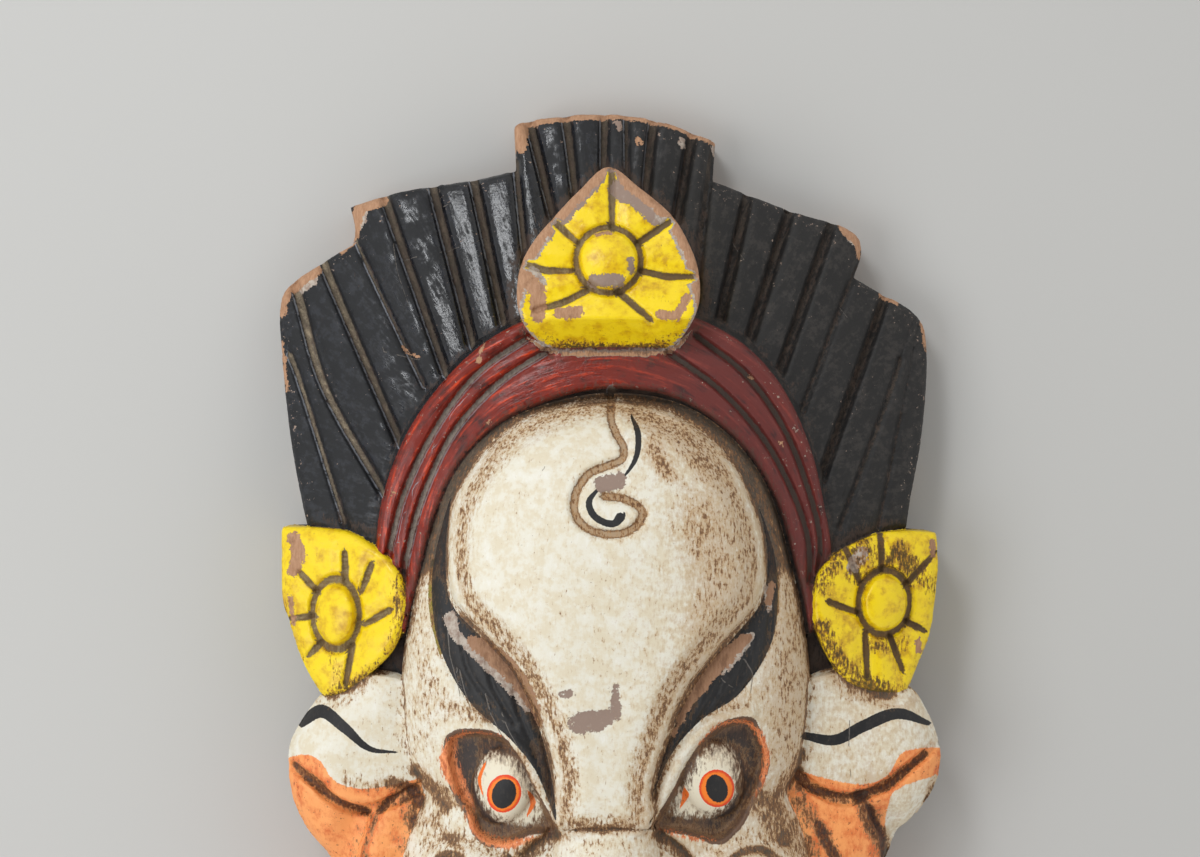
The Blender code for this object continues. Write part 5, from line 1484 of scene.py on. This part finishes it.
# The paint
def srgb(red, green, blue):
    """A colour as mixed on a screen, from 0 to 255, turned into linear light."""
    shares = (np.array([red, green, blue]) / 255).tolist()
    return tuple(s / 12.92 if s <= 0.04045 else ((s + 0.055) / 1.055) ** 2.4 for s in shares)


class Wire:
    """A value on its way through a material: arithmetic on it adds Math nodes."""

    def __init__(self, finish, socket):
        self.finish = finish
        self.socket = socket

    def math(self, operation, *values):
        return self.finish.node("Math", {"operation": operation}, dict(enumerate(values)))

    def __add__(self, other):
        return self.math("ADD", self, other)

    def __sub__(self, other):
        return self.math("SUBTRACT", self, other)

    def __rsub__(self, other):
        return self.math("SUBTRACT", other, self)

    def __mul__(self, other):
        return self.math("MULTIPLY", self, other)

    def __neg__(self):
        return self.math("MULTIPLY", self, -1.0)

    __radd__ = __add__
    __rmul__ = __mul__

    def least(self, other):
        return self.math("MINIMUM", self, other)

    def most(self, other):
        return self.math("MAXIMUM", self, other)

    def size(self):
        return self.math("ABSOLUTE", self)

    def rise(self, start, end):
        """Rises smoothly from 0 at start to 1 at end."""
        return self.finish.node(
            "MapRange",
            {"interpolation_type": "SMOOTHSTEP"},
            {"Value": self, "From Min": start, "From Max": end},
        )


class Finish:
    """The nodes of a material or a world, built in code."""

    def __init__(self, owner):
        owner.use_nodes = True
        self.tree = owner.node_tree
        self.tree.nodes.clear()

    def node(self, kind, settings, sockets, output=0):
        """Adds a node with its settings, then the values or wires of its sockets."""
        made = self.tree.nodes.new("ShaderNode" + kind)
        for name, value in settings.items():
            setattr(made, name, value)
        for name, value in sockets.items():
            if isinstance(value, Wire):
                self.tree.links.new(value.socket, made.inputs[name])
            else:
                made.inputs[name].default_value = value
        return Wire(self, made.outputs[output]) if made.outputs else None

    def mark(self, name, output="Fac"):
        """What the mesh keeps on each point under this name."""
        return self.node("Attribute", {"attribute_name": name}, {}, output)

    def parts(self, vector):
        """The three numbers of a vector."""
        made = self.node("SeparateXYZ", {}, {0: vector}).socket.node
        return [Wire(self, output) for output in made.outputs]

    def mix(self, share, first, second):
        """Goes from the first colour to the second as the share goes from 0 to 1."""
        first, second = (value if isinstance(value, Wire) else (*value, 1.0) for value in (first, second))
        return self.node("Mix", {"data_type": "RGBA"}, {0: share, 6: first, 7: second}, 2)

    def fade(self, depth, start, end, first, second):
        """Goes from the first colour to the second as the depth rises from start to end."""
        return self.mix(depth.rise(start, end), first, second)

    def blend(self, share, first, second):
        """Mixes plain values, such as a roughness."""
        return self.node("Mix", {"data_type": "FLOAT"}, {0: share, 2: first, 3: second})

    def stretched(self, place, scale):
        """A place with each of its axes scaled."""
        return self.node("VectorMath", {"operation": "MULTIPLY"}, {0: place, 1: scale})

    def noise(self, place, scale, detail=3.0, roughness=0.55):
        """Cloudy noise around 0, mostly within 0.25 either way; the scale is per millimetre."""
        sockets = {"Vector": place, "Scale": scale, "Detail": detail, "Roughness": roughness}
        return self.node("TexNoise", {}, sockets) - 0.5


class MaskPaint(Finish):
    """The painted wood of the mask: the noises and places that its layers share, then the layers."""

    def __init__(self, material, paints):
        super().__init__(material)
        self.paints = paints
        here = self.node("TexCoord", {}, {}, "Object")
        place = self.node("VectorMath", {"operation": "SCALE"}, {0: here, "Scale": 1 / MM})
        brush = self.mark("brush", "Vector")
        self.clouds = self.noise(place, 0.14, 3.0)
        self.wobble = self.noise(place, 0.42, 4.0, 0.62)
        self.tremble = self.noise(place, 1.2, 2.0)
        self.specks = self.noise(place, 0.75, 3.0, 0.75)
        self.stain = self.noise(self.stretched(place, (1.0, 0.5, 1.0)), 0.62, 5.0, 0.72)
        self.flow = self.noise(self.stretched(place, (1.0, 0.25, 0.6)), 1.1, 4.0, 0.65)
        self.streaks = self.noise(self.stretched(brush, (0.05, 0.6, 0.3)), 1.0, 4.0, 0.6)

        across = self.parts(place)[0]
        self.right = across.rise(-15, 45)
        self.far_left = (-across).rise(85, 115)
        self.middle = (-across.size()).rise(-26, -16)
        self.glossy = across.rise(-82, -64) * (-across).rise(20, 32)

        self.flower = (self.mark("flower") + self.tremble + self.wobble * 1.2).rise(-0.15, 0.15)
        off_flower = 1.0 - self.flower
        self.crest, self.band = (self.stroke(name) * off_flower for name in ("crest", "band"))
        self.head = (1.0 - self.crest) * (1.0 - self.band) * off_flower
        self.on_dark = self.crest.most(self.band)
        # The dirt mark holds the stains and grime, and also painted shade in folds, under the band's edge
        # and round the flowers.
        self.edge, self.dirt_and_shade = self.mark("edge"), self.mark("dirt_and_shade")

    def stroke(self, name, tremor=0.7):
        """Where a brushed colour lies, with a slightly trembling edge."""
        return (self.mark(name) + self.tremble * tremor).rise(-0.12, 0.12)

    def chip(self, name):
        """Where paint is gone, with a ragged edge."""
        return (self.mark(name) + self.wobble * 4.5 + self.tremble * 2.0).rise(-0.1, 0.1)

    def thin(self, name, tremor):
        """How far inside a thin mark a place lies."""
        inside, offset, half = self.parts(self.mark(name, "Vector"))
        return (half - offset.size()).least(inside + 0.8) + self.tremble * tremor

    def wood(self):
        """Bare wood: tan with darker grain that runs up the mask."""
        wood = self.fade(self.flow * 1.8 + 0.5, 0.1, 0.9, self.paints.wood, srgb(158, 118, 88))
        return self.fade(self.clouds * 2.0 + self.stain, 0.05, 0.8, wood, srgb(126, 92, 68))

    def primer(self):
        share = self.wobble * 1.6 + self.stain * 1.4 + self.middle * 0.5 + 0.45
        return self.fade(share, 0.15, 0.85, self.paints.primer, srgb(144, 124, 112))

    def white(self):
        """The white of the face: creamy, with warm clouds and smears and brown specks."""
        share = self.clouds * 2.6 + self.wobble * 2.0 + self.flow + 0.5
        white = self.fade(share, 0.1, 0.9, self.paints.white, srgb(214, 204, 180))
        white = self.fade(self.clouds * -2.4 + self.flow * 1.6, 0.15, 0.8, white, srgb(226, 224, 214))
        # The brown smear grows towards the right: partly painted shade of the side turned from the light,
        # partly grime.
        smear_and_shade = self.dirt_and_shade * 0.8 + self.stain * 1.7 + self.flow + self.wobble + self.right * 0.4
        white = self.mix(smear_and_shade.rise(0.1, 0.9) * 0.68, white, srgb(184, 156, 120))
        specks = (self.specks + self.dirt_and_shade * 0.03).rise(0.17, 0.25)
        return self.mix(specks * 0.75, white, srgb(112, 76, 46))

    def black(self):
        """The black of the hair: blue-black on the left, duller and dusty on the right, with pale specks."""
        share = self.clouds * 2.0 + self.wobble * 2.4 + self.streaks * 1.6 + self.specks + 0.3
        left = self.fade(share, 0.1, 0.9, self.paints.black, srgb(28, 31, 38))
        right = self.fade(share, 0.1, 0.9, srgb(25, 24, 24), srgb(47, 44, 42))
        black = self.mix(self.right, left, right)
        return self.mix(self.specks.rise(0.22, 0.3) * 0.35, black, srgb(128, 120, 112))

    def red(self):
        """The red of the band: bright and dark streaks on the left, duller on the right."""
        bright = (self.streaks * 3.0 + self.wobble * 0.8 + 0.1).rise(0.1, 0.9)
        dark = (self.clouds * 2.2 - self.streaks * 2.0 + 0.05).rise(0.05, 0.8)
        left = self.mix(dark, self.mix(bright, self.paints.red, srgb(204, 62, 10)), srgb(60, 16, 8))
        right = self.mix(dark, self.mix(bright, srgb(98, 38, 34), srgb(124, 52, 44)), srgb(62, 30, 30))
        red = self.mix(self.right, left, right)
        return self.mix(self.specks.rise(0.21, 0.3) * 0.4, red, srgb(176, 100, 70))

    def yellow(self):
        """The yellow of the flowers, with brown smudges, thin scratches and specks."""
        share = self.clouds * 2.2 + self.wobble + 0.3
        yellow = self.fade(share, 0.1, 0.9, self.paints.yellow, srgb(204, 158, 6))
        smudge = (self.wobble * 1.6 + self.clouds * 1.6 + self.right * 0.2).rise(0.25, 0.7)
        yellow = self.mix(smudge * 0.36, yellow, srgb(162, 128, 24))
        scratched = (self.flow + self.stain * 0.8).rise(0.2, 0.32)
        yellow = self.mix(scratched * 0.6, yellow, srgb(150, 112, 24))
        return self.mix(self.specks.rise(0.18, 0.24) * 0.75, yellow, srgb(104, 76, 26))

    def orange(self):
        share = self.clouds * 1.8 + self.stain * 1.6 + self.dirt_and_shade * 0.5 + 0.35
        orange = self.fade(share, 0.1, 1.0, self.paints.orange, srgb(212, 104, 48))
        specks = (self.specks + self.stain * 0.9 + self.dirt_and_shade * 0.1).rise(0.15, 0.25)
        return self.mix(specks * 0.85, orange, srgb(70, 38, 24))

    def eyes(self, colour):
        """The eyes over a colour: a dark socket with an orange rim, and a streaked ball with its iris; the
        socket darkens inwards and the ball darkens towards its edge as painted shade.
        """
        depth = self.mark("socket") + self.wobble * 1.6 + self.tremble * 0.6
        self.socket = depth.rise(-0.2, 0.2) * self.head
        # Painted shade: the socket's brown paint darkens further inside its outline.
        shade = depth * 0.12 + self.flow * 1.6 + self.clouds * 1.6 + 0.1
        dark = self.fade(shade, 0.0, 1.2, srgb(100, 74, 56), srgb(46, 37, 34))
        colour = self.mix(self.socket, colour, dark)

        rim = (self.mark("rim") + self.flow * 9.0 + self.stain * 4.0 - 0.5).rise(-0.4, 0.9)
        share = self.stain * 2.4 + self.flow * 2.0 + 0.4
        orange = self.fade(share, 0.1, 0.9, srgb(236, 148, 94), srgb(178, 88, 44))
        colour = self.mix(rim * self.head, colour, orange)

        ball = self.mark("eyeball")
        self.eyeball = (ball + self.wobble * 1.2).rise(-0.3, 1.0) * self.socket
        # Painted shade: the ball darkens towards its edge, over its brown streaks.
        streaked_and_shaded = self.flow * 3.2 + self.stain * 2.4 + (4.8 - ball) * 0.22 + self.right * 0.1
        ball_colour = self.fade(streaked_and_shaded, 0.1, 1.2, srgb(224, 216, 194), srgb(88, 64, 46))
        colour = self.mix(self.eyeball, colour, ball_colour)

        iris = self.mark("iris") + self.tremble * 0.5
        ring = self.fade(iris + self.wobble * 1.6, 0.4, 1.4, srgb(224, 66, 20), srgb(244, 128, 34))
        self.iris = iris.rise(-0.1, 0.1) * self.head
        return self.mix(self.iris, colour, ring)

    def coats(self):
        """All the brushed colours, one over another."""
        orange_paint = self.orange()
        orange = (self.mark("orange") + self.tremble * 1.2 + self.wobble).rise(-0.2, 0.2)
        colour = self.mix(orange, self.white(), orange_paint)
        colour = self.mix(self.stroke("lips") * self.head, colour, orange_paint)
        mouth = self.stroke("mouth") * self.head * (1.0 - self.stroke("tooth"))
        colour = self.eyes(self.mix(mouth, colour, srgb(84, 22, 18)))
        colour = self.mix(self.thin("arc", 0.5).rise(-0.12, 0.12) * self.head, colour, srgb(234, 112, 34))
        colour = self.mix(self.stroke("olive") * self.head, colour, srgb(122, 108, 22))
        share = self.wobble * 2.0 + self.flow * 1.5 + 0.2
        ink = self.fade(share, 0.1, 1.0, srgb(24, 24, 26), srgb(46, 43, 41))
        self.line = self.stroke("area").most(self.thin("line", 0.5).rise(-0.1, 0.1)) * self.head
        colour = self.mix(self.line, colour, ink)
        colour = self.mix(self.stroke("nostril") * self.head, colour, srgb(46, 34, 30))
        colour = self.mix(self.crest, colour, self.black())
        colour = self.mix(self.band, colour, self.red())
        return self.mix(self.flower, colour, self.yellow())

    def groove_colour(self, depth):
        """The bottoms of the gouges: pale on the far left and dark on the right, partly painted light and
        shade of the sides that face towards and away from the light, and brown on the forehead. The crest's
        gouges and the curl are darker at their walls than in their middle, which is painted shade.
        """
        dusty = (self.streaks * 2.6 + self.tremble * 1.2 + 0.4).rise(0.0, 1.0)
        left = self.mix(self.far_left, srgb(104, 92, 78), srgb(150, 136, 114))
        # Painted shade: a gouge's bottom darkens towards its walls and stays pale in its middle.
        crest = self.mix(dusty * depth.rise(0.1, 1.3), self.mix(0.65, left, srgb(36, 32, 29)), left)
        crest = self.mix(self.right, crest, self.mix(dusty, srgb(32, 29, 27), srgb(66, 57, 49)))
        across_band = self.mix(self.right, srgb(140, 130, 120), srgb(76, 64, 58))
        bottom = self.mix(self.band, crest, self.mix(dusty * 0.5, across_band, srgb(84, 74, 66)))
        petal = self.mix(self.right, srgb(146, 130, 96), srgb(86, 68, 50))
        bottom = self.mix(self.flower, bottom, self.mix(dusty, srgb(108, 88, 58), petal))
        # Painted shade: the curl's groove is dark at its walls and pale in its middle.
        curl = self.fade(depth + self.wobble * 2.0, 0.2, 1.1, srgb(98, 68, 42), srgb(168, 144, 116))
        return self.mix(self.head, bottom, curl)

    def cuts(self, colour):
        """The gouges, a painted highlight along the rolled edges beside them, and the scratches."""
        depth = self.thin("groove", 1.0)
        self.groove = (depth + self.wobble * 1.2 + self.flower * 0.45).rise(-0.2, 0.35)
        colour = self.mix(self.groove, colour, self.groove_colour(depth))
        inside, offset, half = self.parts(self.mark("groove", "Vector"))
        # Painted highlight: pale blue-grey lines on the rolled flute edges beside the gouges on the left of
        # the crest, where the light would glint, also read as rubbed paint.
        beside = -offset - half + self.wobble * 0.8
        rubbed_highlight = beside.rise(0.0, 0.25) * (1.0 - beside.rise(0.5, 0.9)) * inside.rise(-2.2, -1.6)
        rubbed_highlight = rubbed_highlight * (1.0 - self.right) * self.crest
        rubbed_highlight = rubbed_highlight * (self.wobble * 2.0 + self.streaks * 2.0 + 0.7).rise(0.2, 0.7)
        colour = self.mix(rubbed_highlight * 0.75, colour, srgb(140, 144, 152))
        self.scratch = self.thin("scratch", 0.5).rise(-0.05, 0.15)
        scratched = self.mix(self.on_dark.most(self.line), srgb(92, 72, 54), srgb(112, 106, 100))
        return self.mix(self.scratch * 0.7, colour, scratched)

    def wear(self, colour, wood):
        """Chips down to the primer and to the wood, and small flecks on the dark paints' edges."""
        flecks = self.wobble * 1.6 + self.tremble * 0.9 + self.edge * 0.24 + self.paints.wear * 0.1
        flecks = flecks.rise(0.55, 0.6) * (1.0 - self.groove) * self.edge.rise(0.1, 0.3) * self.on_dark
        primer, bare = self.chip("primer").most(flecks), self.chip("bare")
        self.worn = primer.most(bare)
        colour = self.mix(primer, colour, self.primer())
        return self.mix(bare, colour, self.mix(self.head * 0.45, wood, srgb(128, 96, 76)))

    def grimed_and_shaded(self, colour):
        """Brown grime and soot over the stains, and darker brown in the corners and hollows, which is
        painted shade as well as grime.
        """
        # The cavity mark darkens recesses, which is painted shade as well as grime, and proud edges get
        # less.
        depth = self.dirt_and_shade * 0.95 + self.mark("cavity") * 0.5 - self.edge * 0.4 + self.stain * 2.5
        depth = depth + self.specks * 1.2 + self.clouds * 0.8 + self.flow * 2.3
        depth = depth + self.paints.grime_and_shade * 0.4 - 0.62
        self.grime_and_shade = depth.rise(-0.05, 0.5) * (1.0 - self.iris) * (1.0 - self.socket * 0.5)
        self.grime_and_shade = self.grime_and_shade * (1.0 - self.groove * self.flower * 0.7)
        # Where it is deepest, under the band's edge and in the corners, it turns near black: painted shade
        # as well as soot.
        dark = (depth + self.flow * 1.2).rise(0.8, 1.3)
        on_white = self.fade(depth + self.flow, 0.1, 0.75, self.paints.grime_and_shade_colour, srgb(104, 66, 34))
        soot_and_shade = self.stain * 2.0 + self.wobble * 1.6 + self.flow + 0.3
        on_white = self.mix(dark, on_white, self.fade(soot_and_shade, 0.1, 0.9, srgb(40, 30, 24), srgb(88, 72, 58)))
        on_yellow = self.fade(depth + self.flow * 1.2, 0.3, 0.8, srgb(150, 102, 28), srgb(56, 38, 22))
        made = self.mix(self.flower, on_white, on_yellow)
        made = self.mix(self.on_dark, made, self.mix(dark, srgb(80, 62, 52), srgb(36, 28, 24)))
        share = self.blend(self.on_dark * (1.0 - dark), 0.92, 0.5)
        share = share * (1.0 - self.eyeball * 0.1) * (1.0 - self.line * 0.75)
        return self.mix(self.grime_and_shade * share, colour, made)

    def colour(self):
        wood = self.wood()
        colour = self.grimed_and_shaded(self.wear(self.cuts(self.coats()), wood))
        self.back = (self.mark("back") + self.wobble * 3.0).rise(-0.3, 0.5)
        behind = self.fade(self.stain * 2.0 + 0.4, 0.1, 1.0, wood, srgb(112, 84, 60))
        return self.mix(self.back, colour, behind)

    def roughness(self):
        """Varnished in patches on the crest and the band, matte where the paint is cut, worn or grimy."""
        clear = self.clouds * 2.4 + self.streaks * 2.2 + self.wobble * 1.2 + 0.68
        clear_black = (clear + self.glossy * 0.6 - 0.36).rise(0.2, 0.75)
        clear_black = clear_black * (1.0 - self.right.most(self.far_left * 0.7))
        clear = clear.rise(0.2, 0.75)
        rough = self.blend(self.crest, 0.55, self.blend(clear_black, 0.64, 0.16))
        rough = self.blend(self.band, rough, self.blend(clear * (1.0 - self.right * 0.7), 0.66, 0.3))
        rough = self.blend(self.flower, rough, self.blend(clear, 0.55, 0.32)) + self.wobble * 0.2
        rough = self.blend(self.groove.most(self.worn).most(self.back), rough, 0.85)
        return self.blend(self.grime_and_shade * 0.9, rough, 0.72)

    def bump(self):
        height = self.streaks * self.on_dark * 0.22 + self.wobble * 0.14 + self.tremble * 0.05
        height = height - self.worn * 0.12 - self.groove * 0.05 + self.line * 0.03
        height = height - self.scratch * 0.15 + self.grime_and_shade * self.stain * 0.12
        return self.node("Bump", {}, {"Strength": 1.0, "Distance": MM, "Height": height})


def paint_wood(paints):
    """One painted wood for the whole mask."""
    material = bpy.data.materials.new("painted wood")
    finish = MaskPaint(material, paints)
    sockets = {"Base Color": finish.colour(), "Roughness": finish.roughness(), "Normal": finish.bump()}
    sockets.update({"IOR": 1.5, "Specular IOR Level": 0.42})
    shader = finish.node("BsdfPrincipled", {}, sockets)
    finish.node("OutputMaterial", {}, {"Surface": shader})
    return material


def floor_finish(colour):
    """Pale matte paper with the faintest of clouds."""
    material = bpy.data.materials.new("pale floor")
    finish = Finish(material)
    here = finish.node("TexCoord", {}, {}, "Object")
    clouds = finish.noise(here, 3.0, 2.0)
    tint = finish.fade(clouds * 2.0 + 0.5, 0.0, 1.0, colour, tuple(0.985 * c for c in colour))
    shader = finish.node("BsdfPrincipled", {}, {"Base Color": tint, "Roughness": 0.9})
    finish.node("OutputMaterial", {}, {"Surface": shader})
    return material


def room_light(strength):
    """Even light from all around, dimmer straight overhead, where the camera hangs."""
    world = bpy.data.worlds.new("room light")
    finish = Finish(world)
    up = finish.parts(finish.node("TexCoord", {}, {}, "Generated"))[2]
    share = finish.blend(up.rise(DIM_FROM, DIM_TO), SIDE_SHARE, OVERHEAD_SHARE)
    light = finish.node("Background", {}, {"Color": (*FILL_COLOUR, 1.0), "Strength": share * strength})
    finish.node("OutputWorld", {}, {"Surface": light})
    return world


# The add-on
def length(name, description, default, least=0.0, most=100.0):
    return bpy.props.FloatProperty(
        name=name, description=description, default=default, min=least, max=most, unit="LENGTH", precision=5
    )


def factor(name, description, default):
    return bpy.props.FloatProperty(
        name=name, description=description, default=default, min=0, max=1, subtype="FACTOR"
    )


def paint(name, description, colour):
    return bpy.props.FloatVectorProperty(
        name=name, description=description, default=colour, subtype="COLOR", size=3, min=0, max=1
    )


class MaskCarving(bpy.types.PropertyGroup):
    """Sizes of the carving that is finer than the solid."""

    mesh_step: length(
        "Mesh step", "Side of the squares the block is first cut into", 1.05 * MM, 0.5 * MM, 3 * MM
    )
    triangles: bpy.props.IntProperty(
        name="Triangles", description="Most triangles of the finished mask", default=196000, min=20000
    )
    flute_roll: length("Flute roll", "How far the edges of the crest's flutes are rolled down", 0.7 * MM)
    unevenness: length("Unevenness", "Height of the shallow unevenness left by hand work", 0.35 * MM)
    chip_depth: length("Chip depth", "Thickness of the paint and primer where it is chipped off", 0.3 * MM)
    rim_channel: length("Rim channel", "Depth of the worn channel inside the lip of the forehead", 0.6 * MM)
    tool_marks: length("Tool marks", "Depth of the gouge's rows in the hollow of the back", 0.5 * MM)


class MaskPaints(bpy.types.PropertyGroup):
    """Colours of the paints, and how worn and grimy they are, the grime also standing for painted shade in
    corners and hollows.
    """

    white: paint("White", "Paint of the face", srgb(221, 217, 202))
    black: paint("Black", "Paint of the crest of hair", srgb(14, 16, 20))
    red: paint("Red", "Paint of the headband", srgb(116, 26, 8))
    yellow: paint("Yellow", "Paint of the flowers", srgb(238, 208, 12))
    orange: paint("Orange", "Paint of the ears and lips", srgb(242, 160, 94))
    wood: paint("Wood", "Wood where the paint is gone", srgb(182, 142, 112))
    primer: paint("Primer", "Pale ground under the paint", srgb(182, 172, 160))
    # The grime colour and amount also paint the shade in corners and hollows.
    grime_and_shade_colour: paint("Grime", "Brown grime in the corners", srgb(182, 144, 98))
    wear: factor("Wear", "How much paint is rubbed off the edges", 0.5)
    grime_and_shade: factor("Grime amount", "How much grime lies in the corners", 0.5)


class MaskStage(bpy.types.PropertyGroup):
    """The floor, the light and the camera."""

    floor_colour: paint("Floor", "Colour of the plain floor", srgb(190, 190, 188))
    floor_side: length("Floor side", "Side of the square floor", 6.0, 1.0)
    camera_height: length("Camera height", "Height of the camera above the floor", 1.1, 0.3)
    light_distance: length("Light distance", "Distance of the soft lights from the mask", 1.5, 0.5)
    light_side: length("Light side", "Side of the square light at the side", 0.8, 0.1)
    light_power: bpy.props.FloatProperty(
        name="Light power", description="Power of the light at the side", default=7.5, min=0, unit="POWER"
    )
    fill: bpy.props.FloatProperty(
        name="Fill", description="Strength of the even light from all around", default=0.8, min=0
    )


class MakeMask(bpy.types.Operator):
    """Carve and paint the mask"""

    bl_idname = "cham.make_mask"
    bl_label = "Make mask"
    bl_options = {"REGISTER", "UNDO"}

    def execute(self, context):
        piece = make_mesh(context.scene.mask_carving)
        piece.data.materials.append(paint_wood(context.scene.mask_paints))
        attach(piece, "root")
        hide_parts("mask")
        return {"FINISHED"}


class MakeStage(bpy.types.Operator):
    """Lay out the floor, the soft lights and the camera"""

    bl_idname = "cham.make_stage"
    bl_label = "Make stage"
    bl_options = {"REGISTER", "UNDO"}

    def execute(self, context):
        stage = context.scene.mask_stage
        bpy.ops.object.select_all(action="DESELECT")
        bpy.ops.mesh.primitive_plane_add(size=stage.floor_side)
        floor = context.object
        floor.name = "floor"
        floor.data.materials.append(floor_finish(stage.floor_colour))

        for name, direction, share, side in LIGHTS:
            towards = Vector(direction).normalized()
            place = Vector(LOOKED_AT) + towards * stage.light_distance
            turn = towards.to_track_quat("Z", "Y").to_euler()
            bpy.ops.object.light_add(type="AREA", location=place, rotation=turn)
            light = context.object
            light.name = name
            light.data.size = side * stage.light_side
            light.data.energy = share * stage.light_power
            light.data.color = LIGHT_COLOUR

        context.scene.world = room_light(stage.fill)
        context.scene.view_settings.view_transform = "Standard"

        bpy.ops.object.camera_add(location=(*LOOKED_AT[:2], stage.camera_height), rotation=(0, 0, 0))
        camera = context.object
        camera.name = "camera"
        camera.data.lens = PHOTO_FOCAL * SENSOR_WIDTH / PHOTO_WIDTH
        camera.data.sensor_width = SENSOR_WIDTH
        context.scene.camera = camera
        return {"FINISHED"}


class MaskPanel(bpy.types.Panel):
    """Lists the mask's sizes, paints and stage"""

    bl_idname = "VIEW3D_PT_cham_mask"
    bl_label = "Cham mask"
    bl_space_type = "VIEW_3D"
    bl_region_type = "UI"
    bl_category = "Cham mask"

    def draw(self, context):
        scene = context.scene
        for settings, operator in (
            (scene.mask_carving, None),
            (scene.mask_paints, MakeMask),
            (scene.mask_stage, MakeStage),
        ):
            for name in settings.bl_rna.properties.keys():
                if name not in ("rna_type", "name"):
                    self.layout.prop(settings, name)
            if operator:
                self.layout.operator(operator.bl_idname)


SETTINGS = {"mask_carving": MaskCarving, "mask_paints": MaskPaints, "mask_stage": MaskStage}
CLASSES = (*SETTINGS.values(), MakeMask, MakeStage, MaskPanel)


def register():
    for made in CLASSES:
        bpy.utils.register_class(made)
    for name, group in SETTINGS.items():
        setattr(bpy.types.Scene, name, bpy.props.PointerProperty(type=group))


def unregister():
    for name in SETTINGS:
        delattr(bpy.types.Scene, name)
    for made in reversed(CLASSES):
        bpy.utils.unregister_class(made)


def main():
    register()
    bpy.ops.cham.make_mask()
    bpy.ops.cham.make_stage()


if __name__ == "__main__":
    main()
